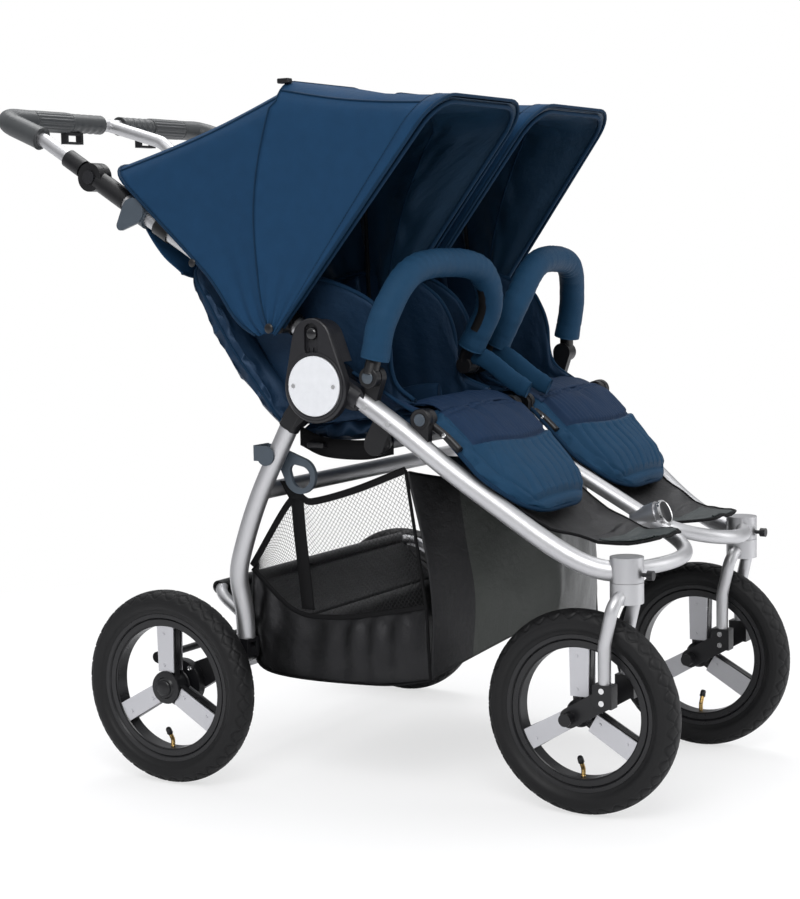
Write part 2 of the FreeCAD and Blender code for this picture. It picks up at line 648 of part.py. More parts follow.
def handle_points():
    """Right half of the handlebar loop, from the joint to the middle of the crossbar."""
    return [V(-BAR_HALF, JOINT_Y + 44, JOINT_Z + 27.5), V(-BAR_HALF, 286, 1014), V(-BAR_HALF, 378, 1052)]


def handle_loop_edges():
    half = handle_points()
    other = [V(-p.x, p.y, p.z) for p in reversed(half)]
    return rounded(half + other, 66.0)


def stem_edges():
    points = [V(0, JOINT_Y + 38, JOINT_Z + 31), V(0, 262, 1018), V(0, 378, 1052)]
    return rounded(points, 40.0)


def handle_button():
    axis_x = -PUSH_X
    return cyl(axis_x - 18.0, axis_x - 11.5, JOINT_Y, JOINT_Z, 11.0)


def release_collar():
    """Sliding collar below the handle joint, with its rounded paddle on the outboard side."""
    low, high = push_line(362.0), push_line(398.0)
    collar = rod(low, high, 19.5)
    mid = push_line(384.0)
    plate = link((mid.y, mid.z), 21.0, (mid.y + 24, mid.z - 22), 8.0, -306.5, -300.5)
    far = push_line(330.0), push_line(440.0)
    body = collar.fuse([plate, box(-306.5, -296, mid.y - 12, mid.y + 12, mid.z - 8, mid.z + 8)])
    return body.cut(rod(far[0], far[1], PUSH_R + RUN)).removeSplitter()


def collar_stop():
    """Black sleeve on the push tube below the collar."""
    low, high = push_line(312.0), push_line(342.0)
    return rod(low, high, 16.5).cut(rod(push_line(300), push_line(360), PUSH_R))


def canopy_clip():
    """Pivot boss that carries the canopy bows on the push tube."""
    foot = push_line(54.0)
    clamp = rod(push_line(40.0), push_line(68.0), 17.0).cut(rod(push_line(30), push_line(80), PUSH_R))
    boss = cyl(-318.0, -300.0, CANOPY_Y, CANOPY_Z + 9, 10.0)
    arm = link((foot.y, foot.z), 12.0, (CANOPY_Y, CANOPY_Z + 9), 10.0, -303.0, -297.0)
    return clamp.fuse([boss, arm]).cut(rod(push_line(30), push_line(80), PUSH_R)).removeSplitter()


def grip(x0, x1, sign=-1):
    """Straight grip over the crossbar: ribbed half and finger-notched half."""
    y, z = 378.0, 1052.0
    body = cyl(x0, x1, y, z, GRIP_R)
    cuts = []
    for k in range(5):
        x = x1 - 12.0 - 15.0 * k if sign < 0 else x0 + 12.0 + 15.0 * k
        cuts.append(Part.makeTorus(GRIP_R + 4.0, 6.0, V(x, y, z), V(1, 0, 0)))
    return body.cut(cuts).cut(cyl(x0 - 1, x1 + 1, y, z, BAR_R))


def corner_grip():
    """Soft wrap over the right corner of the handlebar."""
    edges = handle_loop_edges()
    loop = swept(edges, 18.5)
    keep = box(-320, -214, 291, 420, 980, 1100)
    inside = swept(edges, BAR_R)
    return loop.common(keep).cut(inside)


def strap_loop():
    """Flat wrist-strap loop under the right grip."""
    outer = box(-124, -80, 371.5, 384.5, 1016, 1040)
    inner = box(-119, -85, 370, 386, 1020, 1031)
    return outer.cut(inner).cut(cyl(-130, -70, 378.0, 1052.0, GRIP_R))


# ---------------------------------------------------------------- soft goods on the frame


def arch_wire(base, top, x_low_out, x_top_out, x_in, radius, skin):
    """Closed outline of one canopy arch: a thin upturned U from the outer foot over to the inner foot."""
    foot = V(0, base[0], base[1])
    rise = V(0, top[0] - base[0], top[1] - base[1])
    up = V(rise).normalize()
    h = rise.Length

    def at(x, t):
        return foot + up * t + V(x, 0, 0)

    outer = [at(x_low_out, 0), at(x_top_out, h), at(x_in, h), at(x_in, 0)]
    inner = [at(x_in - skin, 0), at(x_in - skin, h - skin), at(x_top_out + skin, h - skin), at(x_low_out + skin, 0)]
    edges = rounded(outer, radius) + [Part.makeLine(outer[-1], inner[0])]
    edges += rounded(inner, radius - skin) + [Part.makeLine(inner[-1], outer[0])]
    return Part.Wire(edges)


def canopy_panel(arches, spread):
    """A canopy section lofted over its arches; spread moves the whole skin outwards."""
    wires = []
    for base, top, low_out, top_out, x_in in arches:
        wires.append(arch_wire(base, top, -low_out - spread, -top_out - spread, -x_in + spread, 58.0, CANOPY_SKIN))
    panel = Part.makeLoft([wires[0], wires[1]], True, True)
    for a, b in zip(wires[1:], wires[2:]):
        panel = panel.fuse(Part.makeLoft([a, b], True, True))
    return panel


FRONT_ARCH = ((-197.0, 703.0), (-463.0, 1050.0), 336.0, 298.0, 18.0)
MID_ARCH = ((-186.0, 716.0), (-178.0, 1083.0), 334.0, 294.0, 18.0)
MID_ARCH_IN = ((-183.0, 716.0), (-172.0, 1076.0), 334.0, 294.0, 18.0)
REAR_ARCH = ((-160.0, 712.0), (136.0, 966.0), 326.0, 306.0, 18.0)


def canopy_front():
    """Front hood section. It is a little larger than the rear one, so that it slides back over it."""
    return canopy_panel([FRONT_ARCH, MID_ARCH], 3.0)


def canopy_rear():
    return canopy_panel([MID_ARCH_IN, REAR_ARCH], 0.0)


def bow(base, top, low_out, top_out, x_in, radius):
    """Round canopy bow just inside the skin."""
    points = [V(-low_out, base[0], base[1]), V(-top_out, top[0], top[1]),
              V(-x_in, top[0], top[1]), V(-x_in, base[0], base[1])]
    return swept(rounded(points, 50.0), radius)


def bumper_bar():
    """Right bumper bar with its wrap, standing on two round pivots."""
    points = [(-321.5, -361, 668), (-316, -374, 728), (-270, -392, 792), (-180, -402, 806), (-92, -414, 793),
              (-46, -405, 738), (-43, -370, 670)]
    wrap = swept(smooth([V(*p) for p in points]), BUMPER_R)
    return wrap


def bumper_pivots():
    """Black ends of the right bumper bar, outer and inner."""
    outer = link((BUMPER_Y, BUMPER_Z), 15.0, (-361.0, 667.0), 12.0, -336.0, -321.5)
    inner = link((BUMPER_Y, BUMPER_Z), 13.0, (-367.0, 668.0), 11.0, -46.0, -20.5)
    bore_out = cyl(-334.1, -321.0, BUMPER_Y, BUMPER_Z, 5.0 + RUN)
    bore_in = cyl(-30.1, -20.0, BUMPER_Y, BUMPER_Z, 5.0 + RUN)
    wrap = bumper_bar()
    return [outer.cut(bore_out).cut(wrap), inner.cut(bore_in).cut(wrap)]


def leg_rest_pad():
    """Right calf pad: a cushion with rounded lower corners, sloping down to the front."""
    top = V(-156.5, -446, 603)
    down = V(0, -134, -133).normalize()
    across = V(1, 0, 0)
    out = across.cross(down).normalize()
    if out.z < 0:
        out = out * -1

    def at(x, t):
        return top + across * x + down * t

    corners = [at(-124, 0), at(124, 0), at(127, 100), at(112, 188), at(-112, 188), at(-127, 100)]
    closed = corners + [corners[0]]
    mid = (closed[0] + closed[1]) * 0.5
    edges = rounded([mid] + closed[1:] + [mid], 46.0)
    pad = Part.Face(Part.Wire(edges)).extrude(out * -22.0)
    return pad.makeFillet(7.0, [e for e in pad.Edges if abs(e.tangentAt(e.FirstParameter).dot(out)) < 0.5])


def leg_rest_arms():
    """Side arms of the right leg rest, from the pivots to the pad."""
    pad = leg_rest_pad()
    far = (-482.0, 545.0)
    outer = link((LEG_REST_Y, LEG_REST_Z), 14.0, far, 7.0, -299.5, -285.5)
    inner = link((LEG_REST_Y, LEG_REST_Z), 12.0, far, 7.0, -31.0, -20.5)
    outer_foot = box(-299.5, -262.0, -484, -470, 536, 545)
    inner_foot = box(-60.0, -20.5, -484, -470, 536, 545)
    bore_out = cyl(-300, -287.9, LEG_REST_Y, LEG_REST_Z, 5.0 + RUN)
    bore_in = cyl(-30.1, -20, LEG_REST_Y, LEG_REST_Z, 5.0 + RUN)
    return [outer.fuse(outer_foot).cut(bore_out).cut(pad), inner.fuse(inner_foot).cut(bore_in).cut(pad)]


def seat_back():
    """Right seat back, a padded panel leaning back from the seat."""
    foot = V(0, -180.0, 560.0)
    up = V(0, 181, 257).normalize()
    front = V(0, -up.z, up.y)

    def at(x, t):
        return foot + up * t + V(x, 0, 0)

    corners = [at(-BACK_OUT + 8, 0), at(-BACK_OUT + 8, 40), at(-BACK_OUT, 240), at(-BACK_OUT + 40, 306),
               at(-BACK_IN - 40, 306), at(-BACK_IN, 240), at(-BACK_IN, 0)]
    mid = (corners[0] + corners[-1]) * 0.5
    edges = rounded([mid] + corners + [mid], 30.0)
    return Part.Face(Part.Wire(edges)).extrude(front * -20.0)


def harness():
    """Two shoulder straps with pads, lying on the right seat back."""
    foot = V(0, -180.0, 560.0)
    up = V(0, 181, 257).normalize()
    front = V(0, -up.z, up.y)
    pieces = []
    for x in (-204.0, -120.0):
        start = foot + up * 30.0 + V(x - 18, 0, 0)
        strap = Part.makePolygon([start, start + V(36, 0, 0), start + V(36, 0, 0) + up * 230.0, start + up * 230.0,
                                  start])
        pieces.append(Part.Face(strap).extrude(front * 8.0))
    return pieces


def main():
    os.makedirs("parts", exist_ok=True)
    save_wheels()

    fork_pieces, fork_bolts = fork()
    save("fork_right", fork_pieces + fork_bolts)
    save("fork_left", [mirrored(p) for p in fork_pieces + fork_bolts])
    save("head_tubes", pair(head_tube()))
    save("swivel_knobs", pair(swivel_knob()))

    save("front_side_tubes", pair(side_tube()))
    save("front_bow", pair(front_bow()))
    save("front_knuckle", knuckle())
    save("centre_spine", spine())
    save("hub_housings", pair(hub_housing()))
    save("hub_discs", pair(hub_disc()))
    save("frame_screws", pair(Part.makeCompound(disc_screws() + tube_screws())))
    save("fold_sliders", pair(fold_slider()))
    save("seat_cross_tube", cross_tube())
    save("seat_brackets", side_bracket() + [mirrored(p) for p in side_bracket()] + [centre_bracket(), saddle()]
         + leg_rest_posts())
    right_rest, left_rest = footrest(-1), footrest(1)
    save("footrests", right_rest + left_rest)
    save("seat_cushions", pair(seat_cushion()))
    strap, buckle = crotch_strap()
    save("crotch_straps", pair(strap) + pair(buckle))
    save("basket", basket())

    save("rear_legs", pair(rear_leg()))
    save("rear_knuckles", pair(rear_knuckle()))
    save("rear_cross_tubes", [rear_cross_tube(), basket_bar()])
    clamp, ring = storage_latch()
    save("rear_leg_fittings", pair(leg_end()) + [clamp])
    save("latch_ring", ring)

    save("swing_arms", pair(swing_arm()))
    save("axle_tube", axle_tube())
    save("brake_bar", brake_bar())

    save("push_tubes", pair(push_tube()) + [centre_push_tube()])
    save("push_knuckles", pair(push_knuckle()) + [centre_knuckle_disc()])
    outer_low = lower_joint(-PUSH_X, push_line(300))
    centre_low = lower_joint(0, V(0, FOLD_Y, FOLD_Z))
    outer_low = outer_low.cut(swept(push_edges(), PUSH_R))
    centre_low = centre_low.cut(swept(centre_push_edges(), CENTRE_R))
    save("handle_joints_lower", pair(outer_low) + [centre_low] + pair(collar_stop()))
    save("release_collars", pair(release_collar()))
    save("canopy_clips", pair(canopy_clip()))

    loop, stem = swept(handle_loop_edges(), BAR_R), swept(stem_edges(), BAR_R)
    save("handlebar_tube", [pipe(handle_loop_edges(), BAR_R), pipe(stem_edges(), BAR_R).cut(loop)])
    outer_up = upper_joint(-PUSH_X, V(-PUSH_X, 286, 1014)).cut(loop)
    centre_up = upper_joint(0, V(0, 262, 1018)).cut(stem)
    save("handle_joints_upper", pair(outer_up) + [centre_up])
    save("handle_button_right", handle_button())
    save("handle_button_left", mirrored(handle_button()))
    save("grips", pair(grip(-213.0, -26.0)) + pair(corner_grip()))
    save("strap_loops", pair(strap_loop()))

    front, rear = canopy_front(), canopy_rear()
    front_hoop = bow((-201, 712), (-458, 1042), 326.0, 288.0, 28.0, 4.0)
    rear_hoop = bow((-178, 722), (-164, 1064), 324.0, 284.0, 28.0, 3.5)
    save("canopy_front_right", [front, front_hoop])
    save("canopy_front_left", [mirrored(front), mirrored(front_hoop)])
    save("canopy_rears", pair(rear) + pair(rear_hoop))

    bar, pivots = bumper_bar(), bumper_pivots()
    save("bumper_bar_right", [bar] + pivots)
    save("bumper_bar_left", [mirrored(p) for p in [bar] + pivots])
    pad, arms = leg_rest_pad(), leg_rest_arms()
    save("leg_rest_right", [pad] + arms)
    save("leg_rest_left", [mirrored(p) for p in [pad] + arms])
    back = seat_back()
    save("seat_back_right", back)
    save("seat_back_left", mirrored(back))
    save("harness_right", harness())
    save("harness_left", [mirrored(p) for p in harness()])


main()
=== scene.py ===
"""Looks of the side-by-side stroller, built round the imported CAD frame.
"""

import bpy
import math
import numpy as np
from mathutils import Matrix, Vector


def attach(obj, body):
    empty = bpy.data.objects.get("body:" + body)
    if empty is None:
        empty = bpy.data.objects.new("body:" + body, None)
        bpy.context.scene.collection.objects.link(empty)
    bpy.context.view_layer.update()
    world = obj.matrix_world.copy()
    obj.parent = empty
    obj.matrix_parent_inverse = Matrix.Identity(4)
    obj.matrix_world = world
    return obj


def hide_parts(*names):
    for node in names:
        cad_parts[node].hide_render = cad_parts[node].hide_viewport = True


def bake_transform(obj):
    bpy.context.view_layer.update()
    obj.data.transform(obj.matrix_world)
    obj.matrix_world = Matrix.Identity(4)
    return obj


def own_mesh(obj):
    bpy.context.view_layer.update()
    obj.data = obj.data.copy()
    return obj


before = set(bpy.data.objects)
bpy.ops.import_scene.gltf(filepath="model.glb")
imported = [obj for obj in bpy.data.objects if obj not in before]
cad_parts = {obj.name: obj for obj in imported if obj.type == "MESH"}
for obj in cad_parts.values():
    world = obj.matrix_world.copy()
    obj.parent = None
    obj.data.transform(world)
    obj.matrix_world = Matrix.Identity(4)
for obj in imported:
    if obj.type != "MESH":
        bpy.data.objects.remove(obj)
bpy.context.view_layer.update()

MM = 0.001
SIDES = (("right", -1), ("left", 1))
ACROSS = np.array([1.0, 0, 0])
FRONT_WHEEL = (226.7, -647.9)
REAR_WHEEL = (360.8, 0.0)
WHEEL_R, TREAD_LUGS = 152.5, 36


# ---------------------------------------------------------------- materials

ROUGH_SPREAD = 0.16


def node(tree, kind, **values):
    """Adds a shader node; keyword values set its inputs by name, or else its own settings."""
    made = tree.nodes.new(kind)
    for key, value in values.items():
        if key in made.inputs:
            made.inputs[key].default_value = value
        else:
            setattr(made, key, value)
    return made


def wire(tree, *links):
    """Joins pairs of sockets."""
    for source, target in links:
        tree.links.new(source, target)


def math_node(tree, op, *values):
    """Output of a maths node whose inputs are numbers or other outputs."""
    made = node(tree, "ShaderNodeMath", operation=op)
    for socket, value in zip(made.inputs, values):
        if isinstance(value, (int, float)):
            socket.default_value = value
        else:
            tree.links.new(value, socket)
    return made.outputs[0]


def base_material(name, colour, rough, metal=0.0, spot=0.12, scale=60.0, shine=0.22):
    """Principled material whose colour and roughness wander a little, so that no surface looks flat."""
    mat = bpy.data.materials.new(name)
    mat.use_nodes = True
    mat.diffuse_color = (*colour, 1.0)
    mat.metallic = metal
    mat.roughness = rough
    tree = mat.node_tree
    bsdf = tree.nodes["Principled BSDF"]
    bsdf.inputs["Metallic"].default_value = metal
    bsdf.inputs["Specular IOR Level"].default_value = 0.5 if metal else shine
    coords = node(tree, "ShaderNodeTexCoord")
    noise = node(tree, "ShaderNodeTexNoise", Scale=scale, Detail=4.0)
    mix = node(tree, "ShaderNodeMixRGB", blend_type="MIX")
    mix.inputs[1].default_value = (*[c * (1 - spot) for c in colour], 1)
    mix.inputs[2].default_value = (*[min(1.0, c * (1 + spot)) for c in colour], 1)
    spread = math_node(tree, "MULTIPLY_ADD", noise.outputs["Fac"], ROUGH_SPREAD, rough - ROUGH_SPREAD / 2)
    wire(tree, (coords.outputs["Object"], noise.inputs["Vector"]), (noise.outputs["Fac"], mix.inputs[0]),
         (mix.outputs[0], bsdf.inputs["Base Color"]), (spread, bsdf.inputs["Roughness"]))
    return mat, tree, bsdf, coords


def add_bump(tree, bsdf, height, distance, strength):
    """Bump node between a height and the surface normal of a material."""
    bump = node(tree, "ShaderNodeBump", Strength=strength, Distance=distance)
    wire(tree, (height, bump.inputs["Height"]), (bump.outputs["Normal"], bsdf.inputs["Normal"]))
    return bump


def metal_material(name, colour, rough, brushed=0.0, axis=(1.0, 1.0, 1.0)):
    """Satin metal; its fine grain is drawn out along an axis where that scale is small."""
    mat, tree, bsdf, coords = base_material(name, colour, rough, 1.0, 0.04, 25.0)
    stretch = node(tree, "ShaderNodeMapping", Scale=axis)
    grain = node(tree, "ShaderNodeTexNoise", Scale=900.0, Detail=2.0)
    wire(tree, (coords.outputs["Object"], stretch.inputs["Vector"]),
         (stretch.outputs["Vector"], grain.inputs["Vector"]))
    add_bump(tree, bsdf, grain.outputs["Fac"], 0.00006, 0.35 + brushed)
    return mat


def plastic_material(name, colour, rough, grain=0.3, shine=0.35):
    """Moulded plastic or rubber with a fine grain and softened edges."""
    mat, tree, bsdf, coords = base_material(name, colour, rough, 0.0, 0.08, 90.0, shine)
    speck = node(tree, "ShaderNodeTexNoise", Scale=1400.0, Detail=1.0)
    edge = node(tree, "ShaderNodeBevel", Radius=0.0008)
    bump = add_bump(tree, bsdf, speck.outputs["Fac"], 0.00008, grain)
    wire(tree, (coords.outputs["Object"], speck.inputs["Vector"]),
         (edge.outputs["Normal"], bump.inputs["Normal"]))
    return mat


def weave_height(tree, source, pitch):
    """Height of a plain weave with threads pitch millimetres apart, from UVs held in metres."""
    split = node(tree, "ShaderNodeSeparateXYZ")
    tree.links.new(source, split.inputs[0])
    k = 2 * math.pi / (pitch * MM)
    waves = [math_node(tree, "SINE", math_node(tree, "MULTIPLY", split.outputs[i], k)) for i in (0, 1)]
    return math_node(tree, "MULTIPLY", *waves)


def fabric_material(name, colour, rough=0.78, pitch=0.9, sheen=0.25, soft=0.0012, streak=0.0, shine=0.15):
    """Woven cloth: weave bump, slow puckers of depth soft, and a little sheen at grazing angles."""
    mat, tree, bsdf, coords = base_material(name, colour, rough, 0.0, 0.14, 45.0, shine)
    bsdf.inputs["Sheen Weight"].default_value = sheen
    bsdf.inputs["Sheen Roughness"].default_value = 0.5
    bsdf.inputs["Specular Tint"].default_value = (*[0.4 + 0.6 * c / max(colour) for c in colour], 1)
    bsdf.inputs["Sheen Tint"].default_value = (*[min(1.0, c * 5 + 0.05) for c in colour], 1)
    pucker = node(tree, "ShaderNodeTexNoise", Scale=38.0, Detail=5.0, Roughness=0.6)
    squeeze = node(tree, "ShaderNodeMapping", Scale=(1.0, 1.0 - 0.8 * streak, 1.0))
    first = add_bump(tree, bsdf, pucker.outputs["Fac"], soft, 0.55)
    second = add_bump(tree, bsdf, weave_height(tree, coords.outputs["UV"], pitch), 0.00012, 0.4)
    wire(tree, (coords.outputs["UV"], squeeze.inputs["Vector"]),
         (squeeze.outputs["Vector"], pucker.inputs["Vector"]),
         (first.outputs["Normal"], second.inputs["Normal"]))
    return mat


MATERIALS = {
    "silver": metal_material("silver_satin", (0.49, 0.49, 0.50), 0.47),
    "machined": metal_material("machined_alloy", (0.46, 0.46, 0.47), 0.38, 0.4, (1.0, 1.0, 0.06)),
    "plate": metal_material("spoke_alloy", (0.54, 0.54, 0.56), 0.42),
    "chrome": metal_material("screw_steel", (0.60, 0.60, 0.60), 0.18),
    "brass": metal_material("valve_brass", (0.50, 0.33, 0.12), 0.35),
    "black": plastic_material("black_plastic", (0.006, 0.006, 0.007), 0.36),
    "gloss": plastic_material("gloss_black", (0.005, 0.005, 0.006), 0.14, 0.05, 0.6),
    "charcoal": plastic_material("charcoal_plastic", (0.011, 0.011, 0.013), 0.36),
    "white": plastic_material("disc_white", (0.62, 0.63, 0.65), 0.32, 0.1),
    "slate": plastic_material("slate_plastic", (0.050, 0.064, 0.080), 0.42),
    "grip": plastic_material("grip_rubber", (0.038, 0.041, 0.043), 0.42, 0.5, 0.5),
    "mat": plastic_material("mat_rubber", (0.020, 0.027, 0.027), 0.45, 0.6),
    "rim": plastic_material("rim_black", (0.009, 0.009, 0.010), 0.30, 0.15),
    "tyre": plastic_material("tyre_rubber", (0.0065, 0.0065, 0.007), 0.55, 0.8, 0.25),
    "navy": fabric_material("canopy_navy", (0.0105, 0.036, 0.080), 0.74, 0.9, 0.03, shine=0.08),
    "lining": fabric_material("canopy_lining", (0.0075, 0.025, 0.050), 0.45, 0.9, 0.04, 0.003, 0.0, 0.35),
    "seat": fabric_material("seat_navy", (0.0060, 0.019, 0.042), 0.48, 1.0, 0.05, 0.003, 0.0, 0.32),
    "pad": fabric_material("pad_teal", (0.0092, 0.035, 0.072), 0.58, 0.8, 0.05, 0.002, 1.0, 0.16),
    "pad_dark": fabric_material("pad_dark", (0.0088, 0.021, 0.048), 0.60, 0.8, 0.05, 0.0012, 1.0, 0.16),
    "piping": fabric_material("piping_navy", (0.0050, 0.019, 0.042), 0.7, 0.8, 0.05, 0.0004),
    "stitch": fabric_material("stitch_thread", (0.005, 0.012, 0.026), 0.8, 0.6, 0.05, 0.0002),
    "nylon": fabric_material("black_nylon", (0.0028, 0.0028, 0.0030), 0.34, 0.5, 0.02, 0.0035, 0.0, 0.32),
    "webbing": fabric_material("black_webbing", (0.0030, 0.0030, 0.0032), 0.75, 1.6, 0.03, 0.0004),
    "olive": fabric_material("basket_front", (0.020, 0.022, 0.020), 0.36, 0.5, 0.03, 0.003, 0.0, 0.4),
    "net": plastic_material("basket_net", (0.010, 0.010, 0.011), 0.6, 0.1),
}


# ---------------------------------------------------------------- mesh helpers


def add(name, verts, faces, mat, body, uv=None, smooth=True, indices=None):
    """A mesh from millimetre vertices, riding on a body. mat is a material's name, or a list of names."""
    mesh = bpy.data.meshes.new(name)
    mesh.from_pydata((np.asarray(verts, float) * MM).tolist(), [], faces)
    mats = mat if isinstance(mat, list) else [mat]
    for key in mats:
        mesh.materials.append(MATERIALS[key])
    if indices is not None:
        mesh.polygons.foreach_set("material_index", np.asarray(indices, np.int32))
    mesh.polygons.foreach_set("use_smooth", [smooth] * len(mesh.polygons))
    if uv is not None:
        layer = mesh.uv_layers.new(name="UVMap")
        loops = np.zeros(len(mesh.loops), np.int32)
        mesh.loops.foreach_get("vertex_index", loops)
        layer.data.foreach_set("uv", (np.asarray(uv, float)[loops] * MM).ravel())
    mesh.validate()
    mesh.update()
    obj = bpy.data.objects.new(name, mesh)
    bpy.context.scene.collection.objects.link(obj)
    if body:
        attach(obj, body)
    return obj


def grid_faces(nu, nv, wrap_u=False, wrap_v=False):
    """Four-sided faces over a grid of nu by nv points, closed on itself where it wraps."""
    faces = []
    for i in range(nu if wrap_u else nu - 1):
        for j in range(nv if wrap_v else nv - 1):
            a, b = i * nv + j, i * nv + (j + 1) % nv
            c, d = ((i + 1) % nu) * nv + (j + 1) % nv, ((i + 1) % nu) * nv + j
            faces.append((a, b, c, d))
    return faces


def running_length(points):
    """Distance along a polyline at each of its points."""
    return np.concatenate([[0], np.cumsum(np.linalg.norm(np.diff(points, axis=0), axis=1))])


def arc_lengths(points, axis):
    """Running length of a point grid along one of its two directions."""
    step = np.linalg.norm(np.diff(points, axis=axis), axis=2)
    pad = [(0, 0), (0, 0)]
    pad[axis] = (1, 0)
    return np.cumsum(np.pad(step, pad), axis=axis)


def real_uv(points, first=0):
    """UVs in millimetres over a point grid; first is the grid direction that U follows."""
    return np.stack([arc_lengths(points, first), arc_lengths(points, 1 - first)], 2).reshape(-1, 2)


def sheet(name, points, mat, body, thick, offset=-1.0, subdivide=0):
    """A cloth sheet of some thickness from a grid of points. A second material goes on its inner side."""
    nu, nv = points.shape[:2]
    obj = add(name, points.reshape(-1, 3), grid_faces(nu, nv), mat, body, real_uv(points))
    if subdivide:
        mod = obj.modifiers.new("smooth", "SUBSURF")
        mod.levels = mod.render_levels = subdivide
    mod = obj.modifiers.new("thick", "SOLIDIFY")
    mod.thickness = thick * MM
    mod.offset = offset
    if isinstance(mat, list):
        mod.material_offset = 1
    return obj


def straight_points(points, count):
    """Points spread evenly along a polyline."""
    p = np.asarray(points, float)
    run = running_length(p)
    at = np.linspace(0, run[-1], count)
    return np.stack([np.interp(at, run, p[:, k]) for k in range(3)], 1)


def curve_points(points, count):
    """Points spread evenly on a smooth curve through the given ones."""
    p = np.asarray(points, float)
    p = np.vstack([2 * p[0] - p[1], p, 2 * p[-1] - p[-2]])
    t = np.linspace(0, 1, 24, endpoint=False)[:, None]
    out = []
    for a, b, c, d in zip(p, p[1:], p[2:], p[3:]):
        rise, bend, turn = c - a, 2 * a - 5 * b + 4 * c - d, 3 * b - a - 3 * c + d
        out.append(0.5 * (2 * b + rise * t + bend * t**2 + turn * t**3))
    return straight_points(np.vstack(out + [p[-2][None]]), count)


def rounded_corners(points, radius, per=8):
    """A polyline with its inner corners rounded, as a list of points."""
    p = [np.asarray(q, float) for q in points]
    out = [p[0]]
    for a, b, c in zip(p, p[1:], p[2:]):
        u, w = (a - b) / np.linalg.norm(a - b), (c - b) / np.linalg.norm(c - b)
        half = math.acos(np.clip(u @ w, -1, 1)) / 2
        reach = min(radius / math.tan(half), 0.48 * np.linalg.norm(a - b), 0.48 * np.linalg.norm(c - b))
        centre = b + (u + w) / np.linalg.norm(u + w) * (reach / math.cos(half))
        start, stop = b + u * reach - centre, b + w * reach - centre
        total = math.pi - 2 * half
        for s in np.linspace(0, total, per + 1):
            out.append(centre + (start * math.sin(total - s) + stop * math.sin(s)) / math.sin(total))
    return np.array(out + [p[-1]])


def frames_along(path, closed=False):
    """Two unit vectors across the path at every point, turning as little as possible."""
    tangent = np.roll(path, -1, 0) - np.roll(path, 1, 0) if closed else np.gradient(path, axis=0)
    tangent = tangent / np.linalg.norm(tangent, axis=1)[:, None]
    n = np.array([0, 0, 1.0]) if abs(tangent[0][2]) < 0.9 else np.array([1.0, 0, 0])
    normals = []
    for t in tangent:
        n = n - t * (n @ t)
        n = n / np.linalg.norm(n)
        normals.append(n)
    normals = np.array(normals)
    return normals, np.cross(tangent, normals)


def tube(name, path, radius, mat, body, sides=16, closed=False, flat=1.0, shape=None):
    """A round (or, with flat under 1, flattened) cord along a path. shape(t, angle) may scale the radius."""
    path = np.asarray(path, float)
    n, b = frames_along(path, closed)
    t = np.linspace(0, 1, len(path))[:, None]
    ang = np.linspace(0, 2 * math.pi, sides, endpoint=False)[None, :]
    r = np.broadcast_to(radius * (shape(t, ang) if shape else 1.0), (len(path), sides))
    ring = n[:, None] * (r * np.cos(ang))[..., None] + b[:, None] * (r * np.sin(ang) * flat)[..., None]
    points = path[:, None] + ring
    faces = grid_faces(len(path), sides, closed, True)
    along = np.repeat(arc_lengths(points, 0)[:, :1], sides, 1)
    uv = np.stack([along, np.repeat(ang * radius, len(path), 0)], 2)
    if not closed:
        faces.append(tuple(range(sides)))
        faces.append(tuple(len(path) * sides - 1 - k for k in range(sides)))
    return add(name, points.reshape(-1, 3), faces, mat, body, uv.reshape(-1, 2))


def turned(name, profile, origin, axis, mat, body, count=48):
    """A turned piece: (distance along the axis, radius) pairs spun about it."""
    a = np.asarray(axis, float) / np.linalg.norm(axis)
    side = np.cross(a, [0, 0, 1.0] if abs(a[2]) < 0.9 else [1.0, 0, 0])
    side /= np.linalg.norm(side)
    ang = np.linspace(0, 2 * math.pi, count, endpoint=False)
    ring = np.cos(ang)[:, None] * side + np.sin(ang)[:, None] * np.cross(a, side)
    points = np.array([np.asarray(origin, float) + a * s + ring * max(r, 0.01) for s, r in profile])
    uv = np.stack([arc_lengths(points, 0), np.repeat(ang[None] * 20, len(points), 0)], 2).reshape(-1, 2)
    obj = add(name, points.reshape(-1, 3), grid_faces(len(points), count, False, True), mat, body, uv)
    obj.data.set_sharp_from_angle(angle=math.radians(40))
    return obj


def pivot_eye(name, x0, x1, y, z, radius, body):
    """A black disc across X between x0 and x1, with its two edges eased."""
    low, high = sorted((x0, x1))
    width = high - low
    profile = [(0, 0), (0, radius - 1), (1, radius), (width - 1, radius), (width, radius - 1), (width, 0)]
    turned(name, profile, (low, y, z), (1, 0, 0), "black", body, 40)
    return (low + high) / 2


def dish(name, origin, sign, radius, depth, mat, body):
    """A round button or boss facing outboard, with an eased rim and a shallow hollow face."""
    rim = min(1.4, depth * 0.4)
    profile = [(0, 0), (0, radius - rim * 0.4), (rim * 0.5, radius), (depth - rim, radius)]
    profile.append((depth, radius - rim))
    profile += [(depth - 0.2 * rim, radius * 0.72), (depth - 0.5 * rim, radius * 0.6), (depth - 0.5 * rim, 0)]
    return turned(name, profile, origin, (sign, 0, 0), mat, body, 40)


